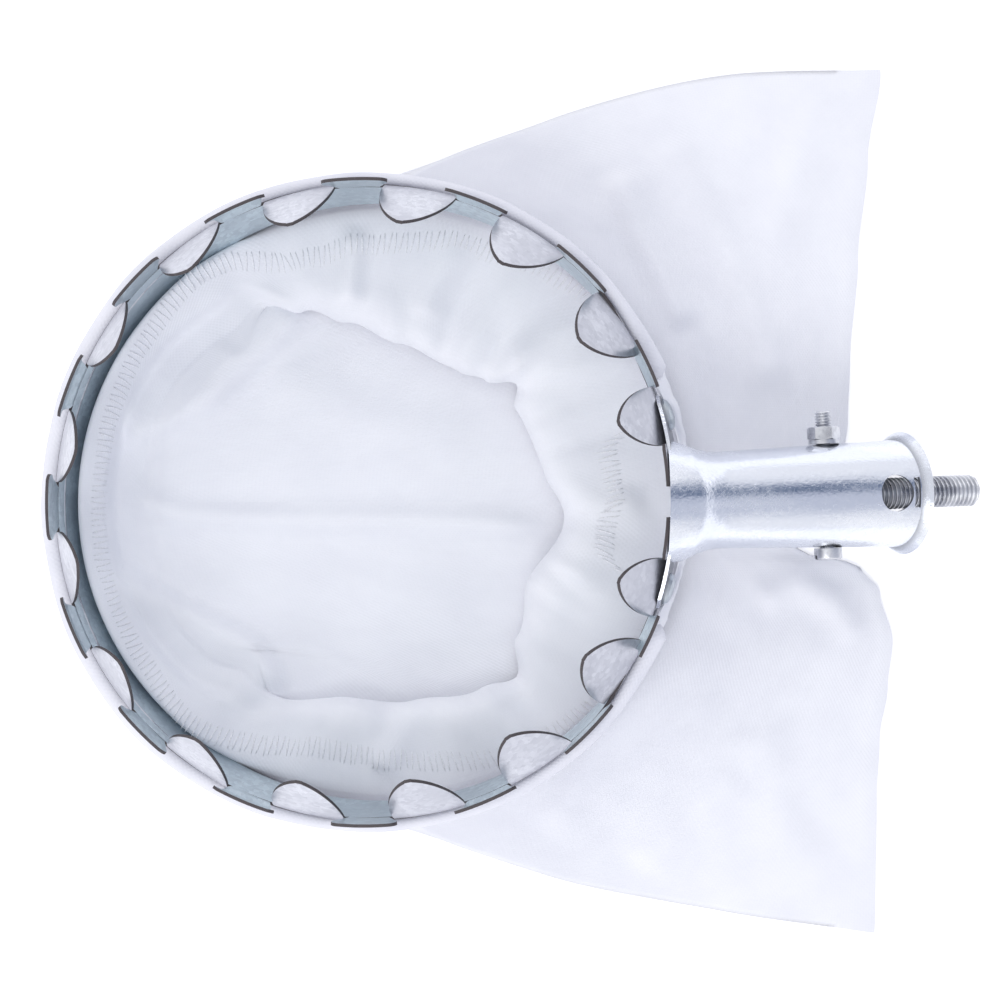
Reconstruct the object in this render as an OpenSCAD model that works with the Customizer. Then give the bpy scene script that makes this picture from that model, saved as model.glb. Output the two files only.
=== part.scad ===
// Fruit picker head lying at rest: a crowned steel ring with a cloth catch bag and a sloping pole socket.
// Units are millimetres. +Z is up, z = 0 is the ground under the bag, the socket points to +X.

/* [Crown ring] */
// Outer radius of the ring band
band_r = 75.3; // [60:0.1:100]
// Thickness of the ring sheet
sheet_t = 0.8; // [0.6:0.1:1.2]
// Height of the plain band below the fingers
band_h = 13.5; // [10:0.5:20]
// Angle left open between the two strip ends, each side of the socket
strip_gap = 2.8; // [1:0.1:4]
// Spacing of the long fingers round the ring
pitch = 22.5; // [18:0.1:24]
// Angle from the socket to the fingers beside it
first_tongue = 16; // [14:0.5:20]
// Turn of the whole row of fingers against the socket
row_turn = 0.8; // [0:0.1:2]
// Length of a long finger along the sheet
tongue_l = 20.6; // [14:0.1:26]
// Half width of a long finger at its root
tongue_w = 10.4; // [8:0.1:11]
// Mean inward lean of the long fingers
tongue_lean = 21.5; // [10:0.5:30]
// How much more the fingers by the socket lean than those opposite
tongue_spread = 2; // [0:0.5:4]
// Height of a short tab
tab_h = 9; // [6:0.5:12]
// Half width of a short tab at its top
tab_w = 8.2; // [6:0.1:8.6]
// Mean outward lean of the short tabs
tab_lean = 13; // [8:1:20]
// How much more the tabs by the socket lean than those opposite
tab_spread = 3; // [0:1:8]
// Outward step pressed into every second tab
tab_step = 1.7; // [0:0.1:2.5]

/* [Pole socket] */
// Outer radius of the socket tube at the ring
tube_r = 11.35; // [10:0.05:14]
// Outer radius of the socket tube before its flared mouth
mouth_r = 13.45; // [12:0.05:16]
// Outer radius of the flared lip
lip_r = 15.4; // [13:0.1:18]
// Length of the socket tube from the band to the lip
tube_l = 63.6; // [45:0.1:80]
// Length of the flared lip along the tube
lip_l = 2.2; // [1.5:0.1:4]
// Thickness of the socket sheet
tube_t = 0.8; // [0.6:0.1:1.2]
// Height of the tube's centre line on the band
tube_z = 9; // [6:0.5:12]
// Downward slope of the socket against the ring
tube_slope = 31; // [20:0.5:40]
// Sideways set of the socket
tube_skew = 2.2; // [0:0.1:4]
// Half angle covered by the two saddle wings
wing_angle = 19.6; // [15:0.1:20]
// Height of the saddle wings
wing_h = 16; // [10:0.5:18]
// Radius of the hole in the upper wall
hole_r = 4.5; // [3:0.1:6]
// Distance of the hole from the band
hole_at = 54.6; // [45:0.1:70]
// Width of the slot at the lip
slot_w = 7.5; // [4:0.5:10]
// Length of the slot along the tube
slot_l = 1.6; // [1:0.1:2.5]

/* [Fasteners] */
// Distance of the cross bolt from the band
bolt_at = 42; // [30:0.5:50]
// Radius of the cross bolt
bolt_r = 2; // [1.5:0.25:3]
// Length of the cross bolt under its head
bolt_l = 34; // [30:0.5:45]
// Radius of the cross bolt's head
head_r = 3.5; // [3:0.25:5]
// Height of the cross bolt's head
head_h = 2.8; // [2:0.1:4]
// Width of the nut across its flats
nut_af = 7; // [5.5:0.5:10]
// Height of the nut
nut_h = 3.2; // [2.4:0.1:5]
// Thickness of the spring lock washer
washer_t = 1; // [0.8:0.1:1.4]
// Outer radius of the spring lock washer
washer_r = 3.8; // [3:0.1:5]
// Radius of the rivet shanks
rivet_r = 2; // [1.5:0.1:2.5]
// Radius of the outer rivet heads
rivet_head = 3.9; // [3:0.1:5]
// Height of the outer rivet heads
rivet_rise = 1.8; // [1:0.1:2.5]

/* [Eye stud] */
// Outer radius of the stud's thread
stud_r = 4; // [3:0.5:5]
// Radius of the plain shank behind the thread
shank_r = 3.55; // [2.8:0.05:4.5]
// Distance from the cross bolt to the stud's tip
stud_l = 43; // [36:0.5:60]
// Length of the threaded part
thread_l = 35.5; // [28:0.5:50]
// Outer radius of the eye
eye_r = 7; // [6:0.25:9]
// Width of the eye along the cross bolt
eye_w = 7; // [5:0.5:9]

/* [Catch bag] */
// Thickness of the bag's cloth walls
cloth_t = 0.8; // [0.8:0.1:1.5]
// Height of the flattened pouch beside the ring
pouch_h = 4.5; // [3.5:0.25:5]
// Half length of the pouch's closed end
pouch_w = 111.4; // [95:0.5:130]
// Distance from the ring's centre to the closed end
pouch_x = 130; // [110:0.5:150]
// Radius of the hem's roll round its wire
hem_r = 2.25; // [1.8:0.05:3]
// Radius of the wire hoop in the hem
wire_r = 1; // [0.8:0.1:1.5]
// Angle of the hem's ends from the socket
hem_angle = 22.5; // [21:0.5:30]

/* [Rest] */
// Lean of the ring as it lies on the ground
tilt = 10; // [6:0.5:12]
// Height of the ring's lowest edge above the ground, where it lies on its bag
lift = 3.6; // [1.6:0.2:6]

/* [Part to draw] */
// Which piece to draw

/* [Hidden] */
zinc = [0.72, 0.75, 0.76];
zinc_dark = [0.6, 0.63, 0.65];
cloth = [0.95, 0.95, 0.97];
ring_fn = 96;
tube_fn = 64;
pin_fn = 48;
eps = 0.01;
seat = 0.1;
tongue_count = 16;
tab_full = 22.4;
tab_room = 7;
band_in = band_r - sheet_t;
wing_in = band_r + seat;
wing_out = wing_in + tube_t;
wing_z = 2;
rivet_z = 7.5;
hem_mid = band_r + 0.3 + hem_r;
hem_top = band_h - 0.85;
hem_z = hem_top - hem_r;
hem_low = 1.2;
hem_skirt = 1.4;
sleeve_in = band_r + 0.3 + hem_skirt + 0.05;
sleeve_out = sleeve_in + cloth_t;
sleeve_top = hem_z - hem_r - 0.4;
rise = band_r * sin(tilt) + lift;
left_x = -(hem_mid + hem_r * cos(tilt)) * cos(tilt) - (hem_z + hem_r * sin(tilt)) * sin(tilt);
tip_x = band_r * cos(tilt) - tube_z * sin(tilt)
        + (bolt_at + stud_l) * (cos(tube_slope) * cos(tube_skew) * cos(tilt) + sin(tube_slope) * sin(tilt))
        + (stud_r - 0.8) * (sin(tube_slope) * cos(tube_skew) * cos(tilt) - cos(tube_slope) * sin(tilt));
mid_x = (left_x + tip_x) / 2;
taper = (mouth_r - tube_r) / (tube_l - lip_l);
bolt_seat = tube_r + taper * (bolt_at + washer_r) + 0.02;

// Angle of long finger i: evenly spaced, but drawn in beside the socket
function finger(i) =
  i == 0 ? first_tongue
  : i == tongue_count - 1 ? 360 - first_tongue
  : 180 + row_turn + (i - (tongue_count - 1) / 2) * pitch;

// Angle between long finger i and the next one
function span(i) = finger(i + 1) - finger(i);

// Places a piece drawn round the ring's own centre into the lying head
module lay()
{
  translate([-mid_x, 0, rise])
    rotate([0, -tilt, 0])
      children();
}

// Places a piece drawn along the socket's centre line, +Z out of the mouth and -X on its upper side
module on_socket()
{
  translate([band_r, 0, tube_z])
    rotate([0, 0, tube_skew])
      rotate([0, 90 + tube_slope, 0])
        children();
}

// Places a piece drawn along the cross bolt's centre line, +Z towards the nut
module on_bolt()
{
  on_socket()
    translate([0, 0, bolt_at])
      rotate([-90, 0, 0])
        children();
}

// One long finger's outline, root on y = 0, w half its root's width
module tongue_outline(w)
{
  polygon([
    [-w, -2],
    [w, -2],
    [w, 0],
    [w * 0.81, tongue_l * 0.22],
    [w * 0.65, tongue_l * 0.44],
    [w * 0.57, tongue_l * 0.62],
    [w * 0.47, tongue_l * 0.79],
    [w * 0.33, tongue_l * 0.92],
    [w * 0.15, tongue_l * 0.985],
    [0, tongue_l],
    [-w * 0.15, tongue_l * 0.985],
    [-w * 0.33, tongue_l * 0.92],
    [-w * 0.47, tongue_l * 0.79],
    [-w * 0.57, tongue_l * 0.62],
    [-w * 0.65, tongue_l * 0.44],
    [-w * 0.81, tongue_l * 0.22],
    [-w, 0]
  ]);
}

// One short tab's outline, root on y = 0, w half its top's width
module tab_outline(w)
{
  polygon([
    [-w * 0.44, -2],
    [w * 0.44, -2],
    [w * 0.44, 0],
    [w * 0.68, tab_h * 0.45],
    [w, tab_h * 0.84],
    [w * 0.97, tab_h * 0.93],
    [w * 0.88, tab_h],
    [-w * 0.88, tab_h],
    [-w * 0.97, tab_h * 0.93],
    [-w, tab_h * 0.84],
    [-w * 0.68, tab_h * 0.45],
    [-w * 0.44, 0]
  ]);
}

// A long finger: part of an inward cone cut to the finger's outline
module tongue(at, lean, width)
{
  run = tongue_l * sin(lean);
  climb = tongue_l * cos(lean);
  rotate([0, 0, at])
    intersection()
    {
      rotate([0, 0, -9])
        rotate_extrude(angle = 18, $fn = ring_fn)
          polygon([
            [band_in + 0.2, band_h - 1],
            [band_r - 0.2, band_h - 1],
            [band_r, band_h],
            [band_r - run, band_h + climb],
            [band_in - run, band_h + climb],
            [band_in, band_h]
          ]);
      translate([band_r, 0, band_h])
        rotate([0, -lean, 0])
          rotate([90, 0, 90])
            linear_extrude(30, center = true)
              tongue_outline(tongue_w * width);
    }
}

// A short tab: part of an outward cone, stepped outward just above its root when step is above 0
module tab(at, lean, step, width)
{
  run = tab_h * sin(lean);
  foot = min(step, run);
  rotate([0, 0, at])
    intersection()
    {
      rotate([0, 0, -9])
        rotate_extrude(angle = 18, $fn = ring_fn)
          polygon([
            [band_in + 0.2, band_h - 1],
            [band_r - 0.2, band_h - 1],
            [band_r, band_h],
            [band_r + run * 0.15, band_h + tab_h * 0.15],
            [band_r + max(run * 0.4, foot), band_h + tab_h * 0.4],
            [band_r + run, band_h + tab_h],
            [band_in + run, band_h + tab_h],
            [band_in + max(run * 0.4, foot), band_h + tab_h * 0.4],
            [band_in + run * 0.15, band_h + tab_h * 0.15],
            [band_in, band_h]
          ]);
      translate([band_r, 0, band_h])
        rotate([90, 0, 90])
          linear_extrude(30, center = true)
            tab_outline(tab_w * width);
    }
}

// The open strip of the crown with its alternating long fingers and short tabs
module ring_band()
{
  color(zinc)
    lay()
      difference()
      {
        union()
        {
          rotate([0, 0, strip_gap])
            rotate_extrude(angle = 360 - 2 * strip_gap, $fn = ring_fn)
              translate([band_in, 0])
                square([sheet_t, band_h]);
          for (i = [0 : tongue_count - 1])
            tongue(finger(i), tongue_lean + tongue_spread * cos(finger(i)),
                   i == 0 || i == tongue_count - 1 ? 0.8 : 1);
          for (i = [0 : tongue_count - 2])
            tab(finger(i) + span(i) / 2, tab_lean + tab_spread * cos(finger(i) + span(i) / 2),
                tab_step * ((i + 1) % 2), min(1, (span(i) - tab_room) / (tab_full - tab_room)));
          for (side = [-1, 1])
            tab(side * (first_tongue - 11.25), 0, 0, 1);
        }
        rotate([0, 0, -strip_gap])
          rotate_extrude(angle = 2 * strip_gap, $fn = ring_fn)
            translate([band_in - 2, -1])
              square([6, band_h + tab_h + 4]);
        for (side = [-1, 1])
          rivet_hole(side);
      }
}

// A rivet's hole, cut through the band and the wing
module rivet_hole(side)
{
  rotate([0, 0, side * first_tongue])
    translate([band_in - 3, 0, rivet_z])
      rotate([0, 90, 0])
        cylinder(r = rivet_r + 0.05, h = 9, $fn = pin_fn);
}

// The outline of both saddle wings, laid flat
module wing_outline()
{
  reach = wing_out * sin(wing_angle);
  polygon([
    [-reach, wing_z + wing_h * 0.3],
    [-reach + 2, wing_z + wing_h * 0.1],
    [-reach + 6, wing_z],
    [reach - 6, wing_z],
    [reach - 2, wing_z + wing_h * 0.1],
    [reach, wing_z + wing_h * 0.3],
    [reach, wing_z + wing_h * 0.62],
    [reach - 2, wing_z + wing_h * 0.8],
    [reach - 8, wing_z + wing_h * 0.92],
    [reach - 14, wing_z + wing_h],
    [-reach + 14, wing_z + wing_h],
    [-reach + 8, wing_z + wing_h * 0.92],
    [-reach + 2, wing_z + wing_h * 0.8],
    [-reach, wing_z + wing_h * 0.62]
  ]);
}

// The tapered tube with its flared lip and its spread root
module tube_shape(grow, from)
{
  body_l = tube_l - lip_l;
  rotate_extrude($fn = tube_fn)
    polygon([
      [0, from],
      [tube_r + 3.2 + grow, from],
      [tube_r + 3.2 + grow, 0],
      [tube_r + 1.4 + grow, 5],
      [tube_r + 0.3 + taper * 8 + grow, 8.5],
      [tube_r + taper * 12 + grow, 12],
      [mouth_r + grow, body_l],
      [mouth_r + (lip_r - mouth_r) * 0.45 + grow, body_l + lip_l * 0.35],
      [lip_r + grow * 0.5, tube_l],
      [0, tube_l]
    ]);
}

// The inside of the tube, open at the mouth
module tube_inside()
{
  body_l = tube_l - lip_l;
  rotate_extrude($fn = tube_fn)
    polygon([
      [0, -20],
      [tube_r + 3.2 - tube_t, -20],
      [tube_r + 3.2 - tube_t, 0],
      [tube_r + 1.4 - tube_t, 5],
      [tube_r + 0.3 + taper * 8 - tube_t, 8.5],
      [tube_r + taper * 12 - tube_t, 12],
      [mouth_r - tube_t, body_l],
      [mouth_r + (lip_r - mouth_r) * 0.45 - tube_t * 0.7, body_l + lip_l * 0.35],
      [lip_r - tube_t * 0.4, tube_l + eps],
      [0, tube_l + 1]
    ]);
}

// The socket: wings that hug the band, a tapered tube, a flared lip, one round hole and one slot
module pole_socket()
{
  color(zinc_dark)
    lay()
      difference()
      {
        union()
        {
          intersection()
          {
            rotate([0, 0, -wing_angle - 1])
              rotate_extrude(angle = 2 * wing_angle + 2, $fn = ring_fn)
                translate([wing_in, 0])
                  square([tube_t, wing_z + wing_h + 1]);
            rotate([90, 0, 90])
              linear_extrude(wing_out + 1)
                wing_outline();
          }
          difference()
          {
            on_socket()
              tube_shape(0, -16);
            translate([0, 0, -20])
              cylinder(r = wing_in + tube_t / 3, h = 60, $fn = ring_fn);
          }
        }
        on_socket()
          tube_inside();
        for (side = [-1, 1])
          rivet_hole(side);
        on_socket()
          translate([-mouth_r - 4, 0, hole_at])
            rotate([0, 90, 0])
              cylinder(r = hole_r, h = mouth_r, $fn = pin_fn);
        on_socket()
          translate([-mouth_r - 4, -slot_w / 2, tube_l - lip_l - slot_l - 0.3])
            cube([mouth_r - 4, slot_w, slot_l]);
        on_bolt()
          cylinder(r = bolt_r + 0.1, h = 4 * mouth_r, center = true, $fn = pin_fn);
      }
}

// One rivet: a domed outer head, a shank through wing and band, a flat inner head
module rivet(side)
{
  color(zinc)
    lay()
      rotate([0, 0, side * first_tongue])
        translate([0, 0, rivet_z])
          rotate([0, 90, 0])
          {
            translate([0, 0, band_in - 0.1 - 0.8])
              cylinder(r = 3.4, h = 0.8, $fn = pin_fn);
            translate([0, 0, band_in - 0.2])
              cylinder(r = rivet_r, h = wing_out - band_in + 0.3, $fn = pin_fn);
            translate([0, 0, wing_out])
              rotate_extrude($fn = pin_fn)
                polygon([
                  [0, 0],
                  [rivet_head, 0],
                  [rivet_head, rivet_rise * 0.25],
                  [rivet_head * 0.87, rivet_rise * 0.6],
                  [rivet_head * 0.6, rivet_rise * 0.87],
                  [rivet_head * 0.3, rivet_rise * 0.98],
                  [0, rivet_rise]
                ]);
          }
}

module rivet_upper()
{
  rivet(1);
}

module rivet_lower()
{
  rivet(-1);
}

// The cross bolt with a slotted cheese head
module cross_bolt()
{
  color(zinc)
    lay()
      on_bolt()
        difference()
        {
          union()
          {
            translate([0, 0, -bolt_seat - head_h])
              rotate_extrude($fn = pin_fn)
                polygon([
                  [0, 0],
                  [head_r - 0.5, 0],
                  [head_r - 0.15, 0.15],
                  [head_r, 0.5],
                  [head_r, head_h],
                  [0, head_h]
                ]);
            translate([0, 0, -bolt_seat - eps])
              cylinder(r = bolt_r, h = bolt_l - 0.5, $fn = pin_fn);
            translate([0, 0, -bolt_seat + bolt_l - 0.5 - 2 * eps])
              cylinder(r1 = bolt_r, r2 = bolt_r - 0.4, h = 0.5, $fn = pin_fn);
          }
          translate([-head_r - 1, -0.5, -bolt_seat - head_h - 1])
            cube([2 * head_r + 2, 1, 2.1]);
        }
}

// The split spring washer under the nut
module lock_washer()
{
  color(zinc_dark)
    lay()
      on_bolt()
        translate([0, 0, bolt_seat])
          difference()
          {
            cylinder(r = washer_r, h = washer_t, $fn = pin_fn);
            translate([0, 0, -1])
              cylinder(r = bolt_r + 0.1, h = washer_t + 2, $fn = pin_fn);
            rotate([0, 20, 0])
              translate([0, -0.35, -2])
                cube([washer_r + 2, 0.7, washer_t + 5]);
          }
}

// The hexagon nut of the cross bolt
module cross_nut()
{
  corner = nut_af / sqrt(3);
  color(zinc)
    lay()
      on_bolt()
        translate([0, 0, bolt_seat + washer_t])
          difference()
          {
            intersection()
            {
              linear_extrude(nut_h)
                polygon([for (k = [0 : 5]) [corner * cos(60 * k), corner * sin(60 * k)]]);
              rotate_extrude($fn = pin_fn)
                polygon([
                  [0, 0],
                  [nut_af / 2, 0],
                  [corner, 0.35],
                  [corner, nut_h - 0.35],
                  [nut_af / 2, nut_h],
                  [0, nut_h]
                ]);
            }
            translate([0, 0, -1])
              cylinder(r = bolt_r + 0.02, h = nut_h + 2, $fn = pin_fn);
          }
}

// The stud whose eye swings on the cross bolt
module eye_stud()
{
  color(zinc)
    lay()
      on_socket()
        translate([0, 0, bolt_at])
          difference()
          {
            union()
            {
              rotate([90, 0, 0])
                cylinder(r = eye_r, h = eye_w, center = true, $fn = pin_fn);
              cylinder(r = shank_r, h = stud_l - thread_l + eps, $fn = pin_fn);
              translate([0, 0, stud_l - thread_l])
                cylinder(r = stud_r, h = thread_l - 0.8, $fn = pin_fn);
              translate([0, 0, stud_l - 0.8 - eps])
                cylinder(r1 = stud_r, r2 = stud_r - 0.8, h = 0.8 + eps, $fn = pin_fn);
            }
            rotate([90, 0, 0])
              cylinder(r = bolt_r + 0.3, h = eye_w + 2, center = true, $fn = pin_fn);
          }
}

// The ground outline of the spread bag, shrunk all round by inset
module bag_outline(inset)
{
  w = pouch_w - inset;
  x = pouch_x - inset;
  polygon([
    [-10, 78 - inset],
    [8, 82 - inset],
    [31, w * 0.815],
    [56, w * 0.915],
    [83, w * 0.99],
    [x - 1, w],
    [x - 4.5, w * 0.63],
    [x - 7, w * 0.39],
    [x - 10, w * 0.15],
    [x - 12, -w * 0.12],
    [x - 4, -w * 0.21],
    [x + 1, -w * 0.28],
    [x + 1.5, -w * 0.34],
    [x - 2, -w * 0.6],
    [x - 2.5, -w],
    [83, -w * 0.93],
    [56, -w * 0.86],
    [31, -w * 0.815],
    [8, -82 + inset],
    [-10, -78 + inset]
  ]);
}

// Everything that lies inside the sleeve under the ring, down to the bag's floor
module sleeve_hollow()
{
  intersection()
  {
    lay()
      translate([0, 0, -80])
        cylinder(r = sleeve_in, h = 120, $fn = ring_fn);
    translate([-200, -200, cloth_t])
      cube([400, 400, 200]);
  }
}

// The catch bag: a sleeve down from the hem and a flat pouch spread out under the socket
module bag()
{
  color(cloth)
    difference()
    {
      union()
      {
        intersection()
        {
          lay()
            translate([0, 0, -80])
              cylinder(r = sleeve_out, h = 80 + sleeve_top, $fn = ring_fn);
          translate([-200, -200, 0])
            cube([400, 400, 200]);
        }
        translate([-mid_x, 0, 0])
          linear_extrude(pouch_h)
            bag_outline(0);
      }
      sleeve_hollow();
      translate([-mid_x, 0, cloth_t])
        linear_extrude(pouch_h - 2 * cloth_t)
          bag_outline(cloth_t);
      lay()
        on_socket()
          tube_shape(1.2, -16);
      lay()
        translate([0, 0, -8])
          rotate([0, 0, -hem_angle])
            rotate_extrude(angle = 2 * hem_angle, $fn = ring_fn)
              translate([sleeve_in - 2, 0])
                square([8, 40]);
    }
}

// The hem's cross section: a roll round the wire over a double skirt against the band
module hem_section()
{
  difference()
  {
    union()
    {
      translate([hem_mid, hem_z])
        circle(r = hem_r, $fn = 24);
      translate([band_r + 0.3, hem_low])
        square([hem_skirt, hem_z - hem_low]);
    }
    translate([hem_mid, hem_z])
      circle(r = wire_r + 0.15, $fn = 16);
  }
}

// The bag's hem, held under the tabs round the outside of the band
module bag_hem()
{
  color(cloth)
    lay()
      rotate([0, 0, hem_angle])
        rotate_extrude(angle = 360 - 2 * hem_angle, $fn = ring_fn)
          hem_section();
}

// The open wire hoop that stiffens the hem
module bag_hoop()
{
  color(zinc)
    lay()
      rotate([0, 0, hem_angle + 0.5])
        rotate_extrude(angle = 359 - 2 * hem_angle, $fn = ring_fn)
          translate([hem_mid, hem_z])
            circle(r = wire_r, $fn = 16);
}

ring_band();
pole_socket();
rivet_upper();
rivet_lower();
cross_bolt();
lock_washer();
cross_nut();
eye_stud();
bag();
bag_hem();
bag_hoop();
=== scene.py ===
"""Fruit picker head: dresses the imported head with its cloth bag, rolled threads, stitches and finishes."""
import logging
import math
from dataclasses import dataclass, field
from enum import Enum
from typing import Callable, Sequence

import bmesh
import bpy
from mathutils import Matrix, Vector, noise


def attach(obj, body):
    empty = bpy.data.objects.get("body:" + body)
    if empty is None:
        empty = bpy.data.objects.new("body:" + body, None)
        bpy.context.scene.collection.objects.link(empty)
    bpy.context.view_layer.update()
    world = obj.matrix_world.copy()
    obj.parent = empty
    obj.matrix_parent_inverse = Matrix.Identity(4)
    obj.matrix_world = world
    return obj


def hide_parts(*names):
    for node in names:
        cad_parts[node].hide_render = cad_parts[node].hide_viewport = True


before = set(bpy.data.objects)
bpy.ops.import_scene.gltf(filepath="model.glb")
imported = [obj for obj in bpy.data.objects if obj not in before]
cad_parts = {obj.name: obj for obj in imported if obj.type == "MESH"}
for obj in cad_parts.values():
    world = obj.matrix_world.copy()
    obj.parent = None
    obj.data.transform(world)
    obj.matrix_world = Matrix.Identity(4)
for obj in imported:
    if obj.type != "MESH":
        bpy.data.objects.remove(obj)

log = logging.getLogger("picker_head")

MM = 0.001
HEAD_BODY = "head"
STUD_BODY = "stud"

Colour = tuple[float, float, float, float]
Socket = bpy.types.NodeSocket


def smooth(low: float, high: float, value: float) -> float:
    """Rises smoothly from 0 at low to 1 at high.

    Args:
        low: Where the rise starts.
        high: Where it ends.
        value: The place asked for.

    Returns:
        A number from 0 to 1.
    """
    t = min(1.0, max(0.0, (value - low) / (high - low)))
    return t * t * (3.0 - 2.0 * t)


def lerp(a: float, b: float, t: float) -> float:
    """Returns the number t of the way from a to b."""
    return a + (b - a) * t


@dataclass(frozen=True)
class Stops:
    """A value given at some places of a line and eased between them.

    Args:
        values: (place, value) pairs in rising order of place.
        turn: Length of one turn where the line closes on itself, or 0.
    """

    values: tuple[tuple[float, float], ...]
    turn: float = 0.0

    def at(self, place: float) -> float:
        """Returns the eased value at a place."""
        stops = list(self.values)
        if self.turn:
            first = stops[0][0]
            place = (place - first) % self.turn + first
            stops.append((first + self.turn, stops[0][1]))
        if place <= stops[0][0]:
            return stops[0][1]
        for (p0, v0), (p1, v1) in zip(stops, stops[1:]):
            if place <= p1:
                return lerp(v0, v1, smooth(p0, p1, place))
        return stops[-1][1]


@dataclass(frozen=True)
class RingFrame:
    """Where the crown ring lies in the row frame. Sizes are in millimetres."""

    band_r: float = 75.3
    tilt: float = math.radians(10)
    mid_x: float = 36.158
    rise: float = 16.676
    band_h: float = 13.5

    def flare(self, angle: float) -> float:
        """Returns how far the band's upper edge stands out, which is nothing beside the socket's wings."""
        return lerp(2.2, 3.2, smooth(60, 150, abs(angle))) * smooth(24, 44, abs(angle))

    def wall(self, angle: float, height: float) -> float:
        """Returns the radius of the band's outer face.

        Args:
            angle: Turn from the socket, from -180 to 180 degrees.
            height: Height above the band's lower edge, in millimetres.
        """
        return self.band_r + self.flare(angle) * min(1.0, max(0.0, (height - 1.0) / (self.band_h - 1.0)))

    def point(self, angle: float, radius: float, height: float) -> Vector:
        """Takes a place round the ring's own axis to the row frame.

        Args:
            angle: Turn from the socket, in degrees.
            radius: Distance from the ring's axis, in millimetres.
            height: Height above the band's lower edge, in millimetres.

        Returns:
            The point in millimetres.
        """
        x, y = radius * math.cos(math.radians(angle)), radius * math.sin(math.radians(angle))
        c, s = math.cos(self.tilt), math.sin(self.tilt)
        return Vector((x * c - height * s - self.mid_x, y, x * s + height * c + self.rise))

    def sleeve(self, angle: float, radius: float, level: float) -> Vector:
        """Takes a place round the ring's axis at a given height above the ground to the row frame.

        Args:
            angle: Turn from the socket, in degrees.
            radius: Distance from the ring's axis, in millimetres.
            level: Height above the ground, in millimetres.

        Returns:
            The point in millimetres.
        """
        across = radius * math.cos(math.radians(angle))
        height = (level - self.rise - across * math.sin(self.tilt)) / math.cos(self.tilt)
        return self.point(angle, radius, height)

    def centre(self) -> Vector:
        """Returns a point on the ring's axis, in metres."""
        return self.point(0, 0, 0) * MM

    def axis(self) -> Vector:
        """Returns the ring's axis."""
        return Vector((-math.sin(self.tilt), 0, math.cos(self.tilt)))


RING = RingFrame()


class Graph:
    """Adds nodes to one tree and joins them."""

    def __init__(self, tree: bpy.types.NodeTree) -> None:
        """Takes the tree that the nodes go into."""
        self.tree = tree
        self.placed = 0

    def add(self, kind: str, **settings: object) -> bpy.types.Node:
        """Adds a node.

        Args:
            kind: The node's type name.
            settings: Its properties by name.

        Returns:
            The new node.
        """
        node = self.tree.nodes.new(kind)
        for name, value in settings.items():
            setattr(node, name, value)
        node.location = (self.placed % 12 * 190, -(self.placed // 12) * 260)
        self.placed += 1
        return node

    def join(self, start: Socket, end: Socket) -> None:
        """Joins an output to an input."""
        self.tree.links.new(start, end)

    def feed(self, socket: Socket, value: object) -> None:
        """Joins a socket to an input, or sets the input to a constant."""
        if isinstance(value, bpy.types.NodeSocket):
            self.join(value, socket)
        elif value is not None:
            socket.default_value = value

    def group(self, tree: bpy.types.NodeTree, values: dict[str, object]) -> bpy.types.NodeOutputs:
        """Adds a shared group, feeds its inputs by name and returns its outputs."""
        node = self.add("ShaderNodeGroup", node_tree=tree)
        for name, value in values.items():
            self.feed(node.inputs[name], value)
        return node.outputs

    def math(self, operation: str, a: object, b: object = None, c: object = None) -> Socket:
        """Adds a Math node and returns its value."""
        node = self.add("ShaderNodeMath", operation=operation)
        for socket, value in zip(node.inputs, (a, b, c)):
            self.feed(socket, value)
        return node.outputs[0]

    def vector(self, operation: str, a: object, b: object = None) -> Socket:
        """Adds a Vector Math node and returns its vector, or its number where it makes one."""
        node = self.add("ShaderNodeVectorMath", operation=operation)
        self.feed(node.inputs[0], a)
        if operation == "SCALE":
            self.feed(node.inputs["Scale"], b)
        else:
            self.feed(node.inputs[1], b)
        return node.outputs["Value" if operation in ("DOT_PRODUCT", "LENGTH", "DISTANCE") else "Vector"]

    def blend(self, factor: object, a: object, b: object, mode: str = "MIX") -> Socket:
        """Mixes two colours and returns the result."""
        node = self.add("ShaderNodeMix", data_type="RGBA", blend_type=mode)
        self.feed(node.inputs[0], factor)
        self.feed(node.inputs[6], a)
        self.feed(node.inputs[7], b)
        return node.outputs[2]

    def span(self, value: object, low: float, high: float, out_low: float = 0.0,
             out_high: float = 1.0) -> Socket:
        """Maps a range of a value smoothly onto another and returns the result."""
        node = self.add("ShaderNodeMapRange", interpolation_type="SMOOTHSTEP")
        for socket, number in zip(node.inputs, (value, low, high, out_low, out_high)):
            self.feed(socket, number)
        return node.outputs[0]

    def grain(self, vector: object, scale: object, detail: float = 2.0, rough: float = 0.5) -> Socket:
        """Adds a noise and returns its value."""
        node = self.add("ShaderNodeTexNoise")
        self.feed(node.inputs["Vector"], vector)
        self.feed(node.inputs["Scale"], scale)
        self.feed(node.inputs["Detail"], detail)
        self.feed(node.inputs["Roughness"], rough)
        return node.outputs[0]


class GroupKind(Enum):
    """The shared shader effects."""

    SPANGLE = "Zinc spangle"
    CUT_EDGE = "Cut edge"
    HANDLING = "Handling marks"
    WEAVE = "Cloth weave"


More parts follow.
